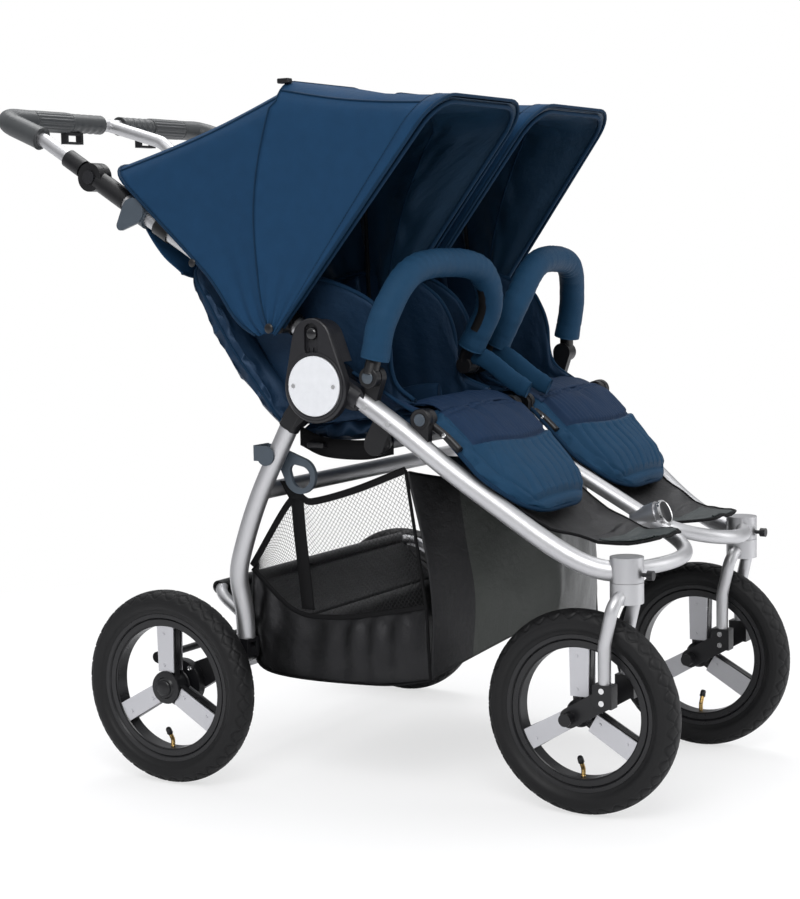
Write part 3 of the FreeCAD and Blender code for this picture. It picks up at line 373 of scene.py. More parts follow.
def block(name, centre, dims, mat, body, bevel=1.5, turn=0.0):
    """A box with eased edges, turned about the X axis by turn degrees."""
    x, y, z = [d / 2 for d in dims]
    corners = np.array([(sx * x, sy * y, sz * z) for sx in (-1, 1) for sy in (-1, 1) for sz in (-1, 1)])
    spin = np.array(Matrix.Rotation(math.radians(turn), 3, "X"))
    faces = [(0, 1, 3, 2), (4, 6, 7, 5), (0, 4, 5, 1), (2, 3, 7, 6), (0, 2, 6, 4), (1, 5, 7, 3)]
    obj = add(name, corners @ spin.T + np.asarray(centre, float), faces, mat, body, smooth=False)
    mod = obj.modifiers.new("ease", "BEVEL")
    mod.width = bevel * MM
    mod.segments = 3
    return obj


def ribbon(name, path, width, body, across=(0.0, 1.0, 0.0)):
    """Flat webbing along a path."""
    path = np.asarray(path, float)
    w = np.asarray(across, float) * width / 2
    return sheet(name, np.stack([path - w, path, path + w], 1), "webbing", body, 1.8, 0.0)


def stitches(name, path, body, spacing=4.6, length=3.0, radius=0.45):
    """A row of separate stitches along a path, as one piece."""
    run = running_length(path)[-1]
    spots = straight_points(path, max(2, int(run / spacing)))
    n, b = frames_along(spots)
    verts, faces = [], []
    for p, u, w, d in zip(spots, n, b, np.cross(n, b)):
        base = len(verts)
        for s in (-0.5, 0.5):
            for cu, cw in ((1, 0), (0, 1), (-1, 0), (0, -1)):
                verts.append(p + d * s * length + (u * cu + w * cw) * radius)
        for k in range(4):
            m = (k + 1) % 4
            faces.append((base + k, base + m, base + 4 + m, base + 4 + k))
    return add(name, verts, faces, "stitch", body)


def between(curve_a, curve_b, nu, nv):
    """A grid of straight lines from one curve to another."""
    a, b = straight_points(curve_a, nu), straight_points(curve_b, nu)
    t = np.linspace(0, 1, nv)[None, :, None]
    return a[:, None] * (1 - t) + b[:, None] * t


def resample(points, rows, cols, new_rows, new_cols):
    """A point grid known at some rows and columns, read off at other ones along straight lines."""
    part = np.apply_along_axis(lambda line: np.interp(new_rows, rows, line), 0, points)
    return np.apply_along_axis(lambda line: np.interp(new_cols, cols, line), 1, part)


def ripple(shape, cells, seed):
    """Smooth random relief between -1 and 1 over a grid."""
    rng = np.random.default_rng(seed)
    coarse = rng.uniform(-1, 1, (cells[0] + 2, cells[1] + 2))
    u, v = np.linspace(0, cells[0], shape[0]), np.linspace(0, cells[1], shape[1])
    iu, iv = u.astype(int), v.astype(int)
    fu, fv = smooth_step(u - iu)[:, None], smooth_step(v - iv)[None, :]
    a, b = coarse[np.ix_(iu, iv)], coarse[np.ix_(iu, iv + 1)]
    c, d = coarse[np.ix_(iu + 1, iv)], coarse[np.ix_(iu + 1, iv + 1)]
    return (a * (1 - fv) + b * fv) * (1 - fu) + (c * (1 - fv) + d * fv) * fu


def smooth_step(x):
    """0 up to x = 0, 1 from x = 1 on, and an even rise between them."""
    x = np.clip(x, 0, 1)
    return x * x * (3 - 2 * x)


def bell(x, centre, width):
    """A round hump of height 1 about a centre."""
    return np.exp(-((x - centre) / width) ** 2)


def hump(t):
    """0 at t = 0 and t = 1, and 1 half way."""
    return np.sin(np.pi * np.clip(t, 0, 1))


def bake(obj):
    """Turns an object's modifiers into real geometry."""
    if obj.modifiers:
        dg = bpy.context.evaluated_depsgraph_get()
        mesh = bpy.data.meshes.new_from_object(obj.evaluated_get(dg))
        obj.modifiers.clear()
        obj.data = mesh


def squash_all(pieces):
    """Turns the modifiers of soft pieces into real geometry, each piece with a mesh of its own."""
    for obj in pieces:
        bake(obj)
        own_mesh(obj)


# ---------------------------------------------------------------- CAD nodes kept as they are

PLAIN = {
    "silver": "front_side_tubes front_bow centre_spine seat_cross_tube rear_legs rear_cross_tubes axle_tube"
              " push_tubes handlebar_tube fork_right fork_left",
    "machined": "head_tubes front_knuckle",
    "charcoal": "hub_housings handle_button_right handle_button_left",
    "white": "hub_discs",
    "chrome": "frame_screws",
    "slate": "latch_ring release_collars",
    "black": "fold_sliders seat_brackets swivel_knobs rear_knuckles swing_arms brake_bar push_knuckles"
             " handle_joints_lower handle_joints_upper canopy_clips strap_loops rear_leg_fittings",
    "plate": "spokes_front_right spokes_front_left spokes_rear_right spokes_rear_left",
    "rim": "wheel_front_right wheel_front_left wheel_rear_right wheel_rear_left",
}


def fork_offset(centre):
    """Distance in X from the middle of the nearer fork."""
    return np.abs(np.abs(centre[:, 0]) - FRONT_WHEEL[0])


FORK_RULES = (
    ("black", lambda c: (fork_offset(c) > 19.7) & (c[:, 2] < 206.3)),
    ("chrome", lambda c: (fork_offset(c) > 49.55) & (fork_offset(c) < 51.6) & (c[:, 2] > 172)),
)
RULES = {
    "rear_leg_fittings": (("slate", lambda c: c[:, 2] > 400),),
    "fork_right": FORK_RULES,
    "fork_left": FORK_RULES,
}


def finish_cad_nodes():
    """Materials for the CAD nodes; a rule (material, test) repaints the faces whose centre passes it."""
    for mat, names in PLAIN.items():
        for name in names.split():
            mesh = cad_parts[name].data
            rules = RULES.get(name, ())
            mesh.materials.clear()
            for key in [mat] + [key for key, _ in rules]:
                mesh.materials.append(MATERIALS[key])
            index = np.zeros(len(mesh.polygons), np.int32)
            for k, (_, test) in enumerate(rules):
                index[test(face_centres(mesh))] = k + 1
            mesh.polygons.foreach_set("material_index", index)


def face_centres(mesh):
    """Centres of a mesh's faces in millimetres."""
    centre = np.zeros(len(mesh.polygons) * 3)
    mesh.polygons.foreach_get("center", centre)
    return centre.reshape(-1, 3) / MM


# ---------------------------------------------------------------- wheels

BEAD_R = 130.0
# Each row of scallops: shift in lugs, lowest distance from the middle, rise, half width, depth.
SCALLOPS = ((0.0, 10.5, 13.0, 2.0, 1.9), (0.5, 3.0, 10.0, 1.5, 1.4))
SIDEWALL_RINGS = (29.5, 33.0)


def tread_depth(u, v):
    """Depth in mm of the grooves cut in the tyre, at u round the tread and v across it from the middle."""
    pitch = 2 * math.pi * WHEEL_R / TREAD_LUGS
    grooves = np.zeros(np.broadcast(u, v).shape)
    for shift, low, rise, width, depth in SCALLOPS:
        line = low + rise * np.abs(np.sin(np.pi * (u / pitch + shift)))
        grooves = np.maximum(grooves, depth * smooth_step(1.4 - np.abs(np.abs(v) - line) / width))
    for ring in SIDEWALL_RINGS:
        grooves = np.maximum(grooves, 0.7 * smooth_step(1.3 - np.abs(np.abs(v) - ring) / 0.9))
    return grooves


def tyre(name, x, y, body):
    """Tyre skin with scalloped shoulder grooves, two sidewall rings and bead lips."""
    half = [(22.6 * math.sin(a), BEAD_R + 22.4 * math.cos(a) ** 0.75) for a in np.linspace(0, np.pi / 2, 26)]
    half += [(22.0, 127.5), (20.6, 124.0), (19.4, 123.2), (18.6, 121.6)]
    half += [(17.6, 120.4), (17.0, 118.4), (16.0, 116.95)]
    profile = np.array([(-p, r) for p, r in half[::-1]] + half[1:])
    run = running_length(profile)
    run -= run[-1] / 2
    count = TREAD_LUGS * 15
    ang = np.linspace(0, 2 * math.pi, count + 1)[:, None]
    out = profile - np.array([0.0, BEAD_R])
    out /= np.linalg.norm(out, axis=1)[:, None]
    cut = tread_depth(ang * WHEEL_R, run[None])
    px, pr = profile[None, :, 0] - out[None, :, 0] * cut, profile[None, :, 1] - out[None, :, 1] * cut
    points = np.stack([x + px, y + np.cos(ang) * pr, WHEEL_R + np.sin(ang) * pr], 2)
    uv = np.stack([np.repeat(ang * WHEEL_R, len(run), 1), np.repeat(run[None], count + 1, 0)], 2)
    return add(name, points.reshape(-1, 3), grid_faces(count + 1, len(run)), "tyre", body, uv.reshape(-1, 2))


def wheels():
    for side, s in SIDES:
        for end, (x, y) in (("front", FRONT_WHEEL), ("rear", REAR_WHEEL)):
            x *= s
            body = f"{end}_wheel_{side}"
            skin = tyre(f"tyre_skin_{end}_{side}", x, y, body)
            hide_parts(f"tyre_{end}_{side}")
            stem = [(x, y, 56.5), (x, y, 66.5), (x + s * 4, y, 74), (x + s * 7.5, y, 80.5)]
            tube(f"valve_brass_{end}_{side}", curve_points(stem, 18), 3.35, "brass", body, 14)
            turned(f"valve_cap_{end}_{side}", [(0, 0), (0, 4.2), (1, 4.8), (9, 4.4), (11, 3.4), (11.4, 0)],
                   (x + s * 6.3, y, 78.0), (s * 0.5, 0, 0.86), "black", body, 20)
            for k, (low, high) in enumerate(((13.2, 14.6), (-14.6, -13.2))):
                profile = [(low, 99), (low, 108.0), (high, 107.6), (high, 99.4), (low, 99)]
                turned(f"rim_line_{k}_{end}_{side}", profile, (x, y, WHEEL_R), (1, 0, 0), "rim", body, 120)
        for edge in (-1, 1):
            profile = [(0, 0), (0, 25), (1.2, 26), (3.6, 25), (4.4, 17), (4.4, 0)]
            turned(f"hub_ring_rear_{side}_{edge}", profile, (s * REAR_WHEEL[0] + edge * 12.2, 0, WHEEL_R),
                   (edge, 0, 0), "black", f"rear_wheel_{side}")
        cap = [(0, 0), (0, 12.5), (1.5, 13.0), (3.2, 11.5), (4.2, 6.0), (4.5, 0)]
        turned(f"rear_cap_{side}", cap, (s * 380.0, 0, WHEEL_R), (s, 0, 0), "black", "rear_axle")
        shell = [(0, 0), (0, 37), (1, 38.4), (13, 38.4), (14.6, 37), (15, 0)]
        turned(f"carrier_shell_{side}", shell, (s * 323.4, 0, WHEEL_R), (s, 0, 0), "black", "rear_axle")
        bolt = [(0, 0), (0, 4.4), (2.0, 4.2), (2.6, 2.5), (1.0, 2.2), (1.0, 0)]
        turned(f"carrier_bolt_{side}", bolt, (s * 338.4, -20, 178), (s, 0, 0), "chrome", "rear_axle", 20)


# ---------------------------------------------------------------- canopies

# Each hoop: foot and top as (Y, Z), X of the outer foot, outer top and inner leg, droop of the cloth at
# its foot, and how far back its seam bows half way up.
HOOPS = {
    "front": ((-197.0, 703.0), (-463.0, 1050.0), 338.5, 300.5, 15.5, 0.0, 0.0),
    "mid": ((-186.0, 714.0), (-180.0, 1084.0), 337.0, 297.0, 15.5, 8.0, 34.0),
    "mid_in": ((-192.0, 714.0), (-188.0, 1079.5), 333.8, 293.8, 18.6, 8.0, 34.0),
    "rear": ((-158.0, 711.0), (140.0, 968.0), 326.0, 305.0, 19.0, 17.0, 0.0),
}
HOOP_CORNER = 58.0
HOOP_PIVOT = np.array([0, -190.0, 705.0])
CANOPY_X, CANOPY_Z = 156.0, 860.0
CANOPY_ROWS = 34
HEM_ROWS = 4
SIDE_N, ARC_N, TOP_N = 26, 8, 12
TOP_START, TOP_END = SIDE_N + ARC_N // 2, SIDE_N + ARC_N + TOP_N + ARC_N // 2


def hoop_points(key, sign):
    """Points over one hoop, from the outer foot over the top to the inner foot, and how far up each is."""
    base, top, low_out, top_out, x_in = HOOPS[key][:5]
    rise = np.array([0, top[0] - base[0], top[1] - base[1]])
    height = np.linalg.norm(rise)
    flat = [(low_out, 0, 0), (top_out, height, 0), (x_in, height, 0), (x_in, 0, 0)]
    path = rounded_corners(flat, HOOP_CORNER, ARC_N)
    a, b = 1 + ARC_N, 2 + ARC_N
    q = np.vstack([
        straight_points([path[0], path[1]], SIDE_N + 1)[:-1],
        path[1:a],
        straight_points([path[a], path[b]], TOP_N + 1)[:-1],
        path[b:b + ARC_N],
        straight_points([path[b + ARC_N], path[-1]], SIDE_N + 1),
    ])
    world = np.array([0, *base]) + q[:, 1:2] * rise / height
    world[:, 0] = sign * q[:, 0]
    return world, q[:, 1] / height


def canopy_grid(first, second, sign, seed):
    """Cloth between two hoops, hollowed a little between them and creased where it gathers at the foot."""
    (a, h), (b, _) = hoop_points(first, sign), hoop_points(second, sign)
    n = len(a)
    at = np.arange(n)
    side = ((at < SIDE_N + 2) | (at >= n - SIDE_N - 2)).astype(float)
    top = ((at >= SIDE_N) & (at < n - SIDE_N)).astype(float)
    inward = sign * np.where(at < n // 2, -1.0, 1.0)
    (droop_a, seam_a), (droop_b, seam_b) = HOOPS[first][5:], HOOPS[second][5:]
    t = np.linspace(0, 1, CANOPY_ROWS)[:, None]
    middle = hump(t)
    belly = hump(h) * side
    pts = a[None] * (1 - t)[..., None] + b[None] * t[..., None]
    droop = smooth_step(t * 1.2) * droop_b + smooth_step(1.2 - t * 1.2) * droop_a
    droop = droop * bell(h, 0.10, 0.14) * side
    pts[..., 1] += (seam_a * (1 - t) + seam_b * t) * belly + 0.45 * droop
    pts[..., 2] -= 0.9 * droop
    away = pts - HOOP_PIVOT
    away[..., 0] = 0
    away /= np.maximum(np.linalg.norm(away, axis=2), 1)[..., None]
    pts -= away * (middle * top * 7.0)[..., None]
    crease = np.sin(2 * np.pi * (t * 3.1 + 0.15 + 0.5 * h)) * np.exp(-h * 4.5) * 3.4 * side * middle ** 0.7
    relief = ripple((CANOPY_ROWS, n), (5, 9), seed) * 1.6 * middle ** 0.5
    pts[..., 0] += (middle * belly * 6.0 + relief + crease) * inward
    return pts


def lining_grid(skin, sign):
    """Inner lining of a front canopy: the skin drawn in a little, with a seam half way and folds off it."""
    toward = np.array([sign * CANOPY_X, -300.0, CANOPY_Z]) - skin
    toward /= np.linalg.norm(toward, axis=2)[..., None]
    cells = skin.shape[:2]
    t = np.linspace(0, 1, cells[0])[:, None]
    h = np.linspace(0, 1, cells[1])[None]
    folds = np.abs(np.sin(h * 46.0 + 5.0 * ripple(cells, (3, 6), 31 + sign))) * bell(t, 0.5, 0.22)
    waves = 1.0 + ripple(cells, (6, 12), 33 + sign) + folds
    depth = 5.0 + 9.0 * smooth_step(t / 0.2) + 6.0 * hump(t) * waves
    return skin + toward * depth[..., None]


def curtain_grid(sign):
    """Curtain hanging from the rear hoop down behind the top of a seat back, its upper corners rounded."""
    t = np.linspace(0, 1, 24)[:, None]
    k = np.linspace(0, 1, 44)[None, :]
    corner = 48 * np.clip((np.abs(2 * k - 1) - 0.58) / 0.42, 0, 1) ** 2 * (1 - t)
    y = 139 - 124 * t + 20 * hump(t) + 5 * np.sin(k * 19 + 2 * t) * t - 0.757 * corner
    z = 964 - 172 * t + 4 * ripple((24, 44), (4, 8), 161 + sign) * t - 0.653 * corner
    return np.stack([sign * (34 + (254 - 18 * t) * k + 6 * t), y, z], 2)


def bow_path(base, top, low_out, top_out, x_in, sign):
    """A plain hoop between two feet at base and a top, both as (Y, Z)."""
    corners = [(low_out, *base), (top_out, *top), (x_in, *top), (x_in, *base)]
    return rounded_corners(corners, 50.0) * np.array([sign, 1, 1])


def canopies():
    soft = []
    rear_body = "handle_frame"
    for side, s in SIDES:
        body = "canopy_" + side
        front = canopy_grid("front", "mid", s, 11 + s)
        rear = canopy_grid("mid_in", "rear", s, 21 + s)
        drop = curtain_grid(s)
        inner = lining_grid(front, s)
        away = front[:HEM_ROWS] - np.array([s * CANOPY_X, 0.0, CANOPY_Z])
        away[..., 1] = 0
        away /= np.linalg.norm(away, axis=2)[..., None]
        hem = front[:HEM_ROWS] + away * 0.6
        outward = slice(None, None, -s)
        two_sided = ["navy", "lining"]
        skin = sheet(f"canopy_front_cloth_{side}", front[:, outward], two_sided, body, 1.3)
        back = sheet(f"canopy_rear_cloth_{side}", rear[:, outward], two_sided, rear_body, 1.3)
        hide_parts("canopy_front_" + side)
        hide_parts("canopy_rears")
        soft += [
            skin,
            back,
            sheet(f"canopy_curtain_{side}", drop, "navy", rear_body, 1.6, 0.0),
            sheet(f"canopy_hem_{side}", hem[:, outward], "navy", body, 1.2, 1.0),
            sheet(f"canopy_lining_{side}", inner, "lining", body, 1.0),
            stitches(f"canopy_hem_stitch_{side}", hem[-1] + away[-1] * 1.4, body),
        ]
        front_hoop = bow_path((-203, 714), (-456, 1040), 325.0, 287.0, 29.0, s)
        cords = [
            (f"curtain_hem_{side}", drop[-1], 2.4, rear_body, 8),
            (f"lining_seam_{side}", inner[17], 2.0, body, 8),
            (f"hoop_front_{side}", front_hoop, 3.6, body, 12),
        ]
        halves = (("front", front, body, 0, -1), ("rear", rear, rear_body, -1, 0))
        for part, grid, rides, free, sewn in halves:
            cords.append((f"{part}_{side}_edge_a", grid[free], 2.6, rides, 10))
            cords.append((f"{part}_{side}_edge_b", grid[sewn], 1.3, rides, 8))
            cords.append((f"{part}_{side}_ridge_out", grid[:, TOP_START], 2.0, rides, 8))
            cords.append((f"{part}_{side}_ridge_in", grid[:, TOP_END], 2.0, rides, 8))
        for name, path, radius, rides, sides in cords:
            soft.append(tube("canopy_" + name, path, radius, "piping", rides, sides))
        hoop = bow_path((-176, 724), (-164, 1062), 323.0, 283.0, 30.0, s)
        soft.append(tube(f"canopy_hoop_mid_{side}", hoop, 3.5, "black", rear_body, 12))
        soft.append(block(f"canopy_toggle_{side}", (s * 268, -178, 1084), (14, 20, 8), "black", body, 2.0))
        soft.append(turned(f"canopy_rear_snap_{side}", [(0, 0), (0, 6.0), (1.2, 6.4), (2.4, 5.2), (3.0, 0)],
                           (s * 321.5, -35, 812), (s, 0, 0), "black", rear_body, 24))
        turned(f"canopy_snap_{side}", [(0, 0), (0, 7.2), (1.4, 7.6), (2.6, 6.4), (3.4, 3.0), (3.6, 0)],
               (s * 338.6, -187, 713), (s, 0, 0), "black", rear_body, 28)
    squash_all(soft)


# ---------------------------------------------------------------- padded pieces

RIM_HALF = 1.5
PUFF_STEP, PUFF_FRAMES = 4, 14


def pad_grid(origin, across, down, normal, half, length, corner, cells, height):
    """Upper and lower skins and mid plane of a pad: half its width, its length and the radii of its two ends.

    height(x, y, edge) gives the loft in mm above the mid plane, edge being the distance from the rim.
    """
    nu, nv = cells
    y = length * (0.5 - 0.5 * np.cos(np.linspace(0, np.pi, nv)))
    width = np.full_like(y, half)
    for far, r in ((y, corner[0]), (length - y, corner[1])):
        near = np.clip(r - far, 0, r)
        width = np.minimum(width, half - r + np.sqrt(np.maximum(r * r - near * near, 0)))
    x = np.sin(np.linspace(-1, 1, nu) * np.pi / 2)[:, None] * width[None]
    yy = np.repeat(y[None], nu, 0)
    edge = np.maximum(np.minimum(np.minimum(width[None] - np.abs(x), yy), length - yy), 0)
    loft = height(x, yy, edge)
    depth = np.clip(loft * 0.5, 0.0, 9.0)
    plane = np.asarray(origin, float) + x[..., None] * across + yy[..., None] * down
    top = plane + (loft + RIM_HALF)[..., None] * normal
    low = plane - (depth + RIM_HALF)[..., None] * normal
    return top, low, plane


def rim_cells(nu, nv):
    """Grid places round the rim of a pad, in order."""
    rim = [(i, 0) for i in range(nu)] + [(nu - 1, j) for j in range(1, nv)]
    return rim + [(i, nv - 1) for i in range(nu - 2, -1, -1)] + [(0, j) for j in range(nv - 2, 0, -1)]


def closed_pad(name, top, low, mat, body, pick=None):
    """A closed cushion from its upper and lower skins; pick chooses a second material for part of the top."""
    nu, nv = top.shape[:2]
    n = nu * nv
    faces = grid_faces(nu, nv)
    flipped = [tuple(n + k for k in reversed(f)) for f in faces]
    ids = [i * nv + j for i, j in rim_cells(nu, nv)]
    band = [(a, n + a, n + b, b) for a, b in zip(ids, ids[1:] + ids[:1])]
    uv = real_uv(top, 1)
    index = None
    if pick is not None:
        index = np.concatenate([pick[:-1, :-1].reshape(-1), np.zeros(len(flipped) + len(band), int)])
    verts = np.vstack([top.reshape(-1, 3), low.reshape(-1, 3)])
    return add(name, verts, faces + flipped + band, mat, body, np.vstack([uv, uv]), indices=index)


def piped_rim(name, top, low, radius, sides, body):
    """Piping round the rim of a pad."""
    mid = (top + low) / 2
    ring = np.array([mid[i, j] for i, j in rim_cells(*mid.shape[:2])])
    keep = [0]
    for k in range(1, len(ring)):
        if np.linalg.norm(ring[k] - ring[keep[-1]]) > 3.0:
            keep.append(k)
    tube(name, ring[keep], radius, "piping", body, sides, closed=True)


def puff(pad, top, low, cap, pressure=2.0):
    """Inflates a pad: a short cloth run on a coarse copy held at its rim moves the fine pad along."""
    nu, nv = top.shape[:2]
    rows = np.append(np.arange(0, nu - 1, PUFF_STEP), nu - 1)
    cols = np.append(np.arange(0, nv - 1, PUFF_STEP), nv - 1)
    pick = np.ix_(rows, cols)
    twin = closed_pad("puff_twin", top[pick], low[pick], "seat", None)
    count = len(rows) * len(cols)
    held = [i * len(cols) + j for i, j in rim_cells(len(rows), len(cols))]
    twin.vertex_groups.new(name="rim").add(held + [count + k for k in held], 1.0, "REPLACE")
    cloth = twin.modifiers.new("cloth", "CLOTH").settings
    cloth.quality = 5
    cloth.mass = 0.3
    cloth.tension_stiffness = 20
    cloth.compression_stiffness = 6
    cloth.bending_stiffness = 0.2
    cloth.vertex_group_mass = "rim"
    cloth.use_pressure = True
    cloth.uniform_pressure_force = pressure
    cloth.effector_weights.gravity = 0.0
    cloth.shrink_min = -0.05
    scene = bpy.context.scene
    for f in range(1, PUFF_FRAMES + 1):
        scene.frame_set(f)
    after = twin.evaluated_get(bpy.context.evaluated_depsgraph_get()).data
    move = np.array([new.co - old.co for new, old in zip(after.vertices, twin.data.vertices)]) / MM
    bpy.data.objects.remove(twin)
    scene.frame_set(1)
    far = np.linalg.norm(move, axis=1)
    move *= (cap * np.tanh(far / cap) / np.maximum(far, 1e-6))[:, None]
    halves = move.reshape(2, len(rows), len(cols), 3)
    fine = [resample(half, rows, cols, np.arange(nu), np.arange(nv)) for half in halves]
    start = np.zeros(len(pad.data.vertices) * 3)
    pad.data.vertices.foreach_get("co", start)
    pad.data.vertices.foreach_set("co", start + np.stack(fine).reshape(-1) * MM)
    pad.data.update()


CALF_PIVOT = (-430, 580)
CALF_TOP = (-443.0, 600.0)
CALF_HALF, CALF_LENGTH = 134.0, 212.0
CALF_SEAM = 96.0


def calf_seam(x):
    """Distance down a calf pad of the curved seam between its two panels."""
    return CALF_SEAM - 15.0 * (x / 100.0) ** 2


def calf_loft(x, y, edge, side):
    """Relief of a calf pad: flat border, gathered upper panel and pleated lower panel at a curved seam."""
    below = y - calf_seam(x)
    inner = smooth_step((CALF_HALF - np.abs(x) - 20.0) / 8.0) * smooth_step((CALF_LENGTH - y - 20.0) / 8.0)
    inner *= smooth_step((edge - 4.0) / 8.0)
    relief = 8.0 * smooth_step(edge / 13.0) ** 0.6 + 5.0 * inner * smooth_step(edge / 60.0)
    relief -= 2.8 * bell(edge, 19.0, 2.2) * smooth_step((y - 12.0) / 10.0)
    wander = ripple(x.shape, (7, 3), 51 + side)
    fan = x * (1.0 - 0.15 * (y - CALF_SEAM) / 120.0) / 19.0
    fan = fan + 0.55 * wander + 0.35 * np.sin(y / 34.0 + x / 50.0)
    pleat = 0.62 - (1 - np.abs(np.sin(np.pi * fan))) ** 3 * (0.7 + 0.5 * ripple(x.shape, (9, 2), 57 + side))
    gather = np.abs(np.sin(x * np.pi / 8.5 + 1.6 * ripple(x.shape, (8, 2), 61 + side))) ** 0.7
    panels = 5.2 * pleat * smooth_step(below / 10.0) + 2.3 * gather * smooth_step(-below / 8.0)
    panels += 2.2 * bell(below, 7.0, 6.0) - 5.0 * bell(below, 0.0, 2.8)
    return relief + (panels + 0.9 * ripple(x.shape, (24, 6), 41 + side)) * inner


def leg_rests():
    down = np.array([0, -134.0, -133.0]) / 188.8
    normal = np.array([0, -133.0, 134.0]) / 188.8
    for side, s in SIDES:
        body = "leg_rest_" + side
        origin = np.array([s * 156.5, *CALF_TOP])
        top, low, plane = pad_grid(origin, ACROSS, down, normal, CALF_HALF, CALF_LENGTH, (24.0, 104.0),
                                   (151, 111), lambda x, y, edge: calf_loft(x, y, edge, s))
        x = plane[..., 0] - origin[0]
        y = (plane - origin) @ down
        droop = 21.0 * (np.abs(x) / CALF_HALF) ** 2.6 + 10.0 * smooth_step((y - 150.0) / 60.0)
        droop += 7.0 * smooth_step(1 - y / 30.0)
        top = top - normal * droop[..., None]
        low = low - normal * droop[..., None]
        pick = ((np.abs(x) < 114) & (y > 5) & (y < calf_seam(x))).astype(int)
        pad = closed_pad(f"calf_pad_{side}", top, low, ["pad", "pad_dark"], body, pick)
        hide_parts("leg_rest_" + side)
        puff(pad, top, low, 4.0)
        piped_rim(f"calf_piping_{side}", top, low, 3.6, 12, body)
        for tag, x0, x1, way in (("out", 298.6, 285.8, s), ("in", 31.0, 21.0, -s)):
            mid = pivot_eye(f"calf_pivot_{tag}_{side}", s * x0, s * x1, *CALF_PIVOT, 15.5, body)
            arm = curve_points([(mid, -434, 575), (mid, -462, 556), (mid, -486, 535)], 14)
            tube(f"calf_arm_{tag}_{side}", arm, 6.0, "black", body, 14, flat=0.8)
            turned(f"calf_rivet_{tag}_{side}", [(0, 0), (0, 3.6), (1.2, 3.2), (1.8, 0)],
                   (mid + way * 4.6, -461, 557), (way, 0, 0), "chrome", body, 18)
        dish(f"calf_pivot_cover_{side}", (s * 300.3, *CALF_PIVOT), s, 16.6, 12.0, "black", "front_frame")
        dish(f"calf_button_{side}", (s * 311.8, *CALF_PIVOT), s, 9.2, 2.4, "slate", "front_frame")
        apron(side, s)


def apron(side, s):
    """Gathered fabric between the seat cushion and the calf pad."""
    t = np.linspace(0, 1, 22)[:, None]
    k = np.linspace(0, 1, 60)[None, :]
    gathers = np.abs(np.sin(k * 44 + 2 * np.sin(t * 3)))
    z = 596 - t + (10.0 + 1.8 * gathers) * hump(t) - 16.0 * t * np.abs(2 * k - 1) ** 3
    x, y = np.broadcast_arrays(s * (36 + 226 * k), -374 - 80 * t)
    points = np.stack([x, y, z + 1.5 * ripple((22, 60), (3, 9), 131 + s)], 2)
    cloth = sheet(f"calf_apron_{side}", points, "pad_dark", None, 3.0, 0.0)
    bake(cloth)
    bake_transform(cloth)


# ---------------------------------------------------------------- seats

BACK_UP = np.array([0.0, 0.5758, 0.8176])
BACK_NORMAL = np.array([0, -BACK_UP[2], BACK_UP[1]])
BACK_FOOT = np.array([0.0, -181.0, 563.0])
BACK_X, BACK_HALF, BACK_LENGTH = 162.0, 132.0, 304.0
SEAT_FORWARD = np.array([0, -206.0, 34.0]) / math.hypot(206.0, 34.0)
SEAT_LIFT = np.array([0, 34.0, 206.0]) / math.hypot(206.0, 34.0)
SEAT_LENGTH = 212.0


def back_loft(x, y, edge, side):
    """Front relief of a seat back: side bolsters, sewn columns and rows."""
    panel = 10.0 * smooth_step(edge / 18.0) ** 0.6 + 12.0 * bell(np.abs(x), 104.0, 18.0)
    columns = 4.0 * bell(np.abs(x), 78.0, 3.0) * smooth_step(edge / 20.0)
    rows = 3.0 * bell((y + 20) % 76.0, 38.0, 3.0) * (np.abs(x) < 76)
    return panel - columns - rows + ripple(x.shape, (9, 10), 61 + side) * 2.6


def seat_loft(x, edge, side):
    """Upper relief of a seat cushion, with two sewn columns."""
    columns = 3.0 * bell(np.abs(x), 70.0, 3.0) * smooth_step(edge / 20.0)
    return 9.0 * smooth_step(edge / 16.0) ** 0.6 - columns + ripple(x.shape, (8, 8), 71 + side) * 2.0


def seats():
    for side, s in SIDES:
        body = "seat_back_" + side
        origin = BACK_FOOT + ACROSS * s * BACK_X
        top, low, plane = pad_grid(origin, ACROSS, BACK_UP, BACK_NORMAL, BACK_HALF, BACK_LENGTH, (16.0, 46.0),
                                   (91, 91), lambda x, y, edge: back_loft(x, y, edge, s))
        x, y = plane[..., 0] - origin[0], np.clip((plane - origin) @ BACK_UP / BACK_LENGTH, 0, 1)
        sag = 30.0 * hump(y ** 0.8) * (1 - (x / 136.0) ** 4) + 16.0 * hump(y)
        sag = sag + 2.5 * ripple(x.shape, (8, 9), 63 + s)
        low = low - BACK_NORMAL * np.maximum(sag, 0)[..., None]
        back = closed_pad(f"seat_back_pad_{side}", top, low, "seat", body)
        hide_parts("seat_back_" + side)
        puff(back, top, low, 6.0)
        piped_rim(f"seat_back_piping_{side}", top, low, 2.4, 8, body)
        origin = np.array([s * 146.0, -187, 551])
        top, low, plane = pad_grid(origin, ACROSS, SEAT_FORWARD, SEAT_LIFT, 117.0, SEAT_LENGTH, (14.0, 14.0),
                                   (71, 71), lambda x, _, edge: seat_loft(x, edge, s))
        sag = 16.0 * hump((plane - origin) @ SEAT_FORWARD / SEAT_LENGTH) ** 0.7
        low = low - SEAT_LIFT * sag[..., None]
        seat = closed_pad(f"seat_pad_{side}", top, low, "seat", "front_frame")
        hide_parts("seat_cushions")
        puff(seat, top, low, 6.0)
        seat_wings(side, s)
        seat_edges(side, s)
        harness(side, s, body)


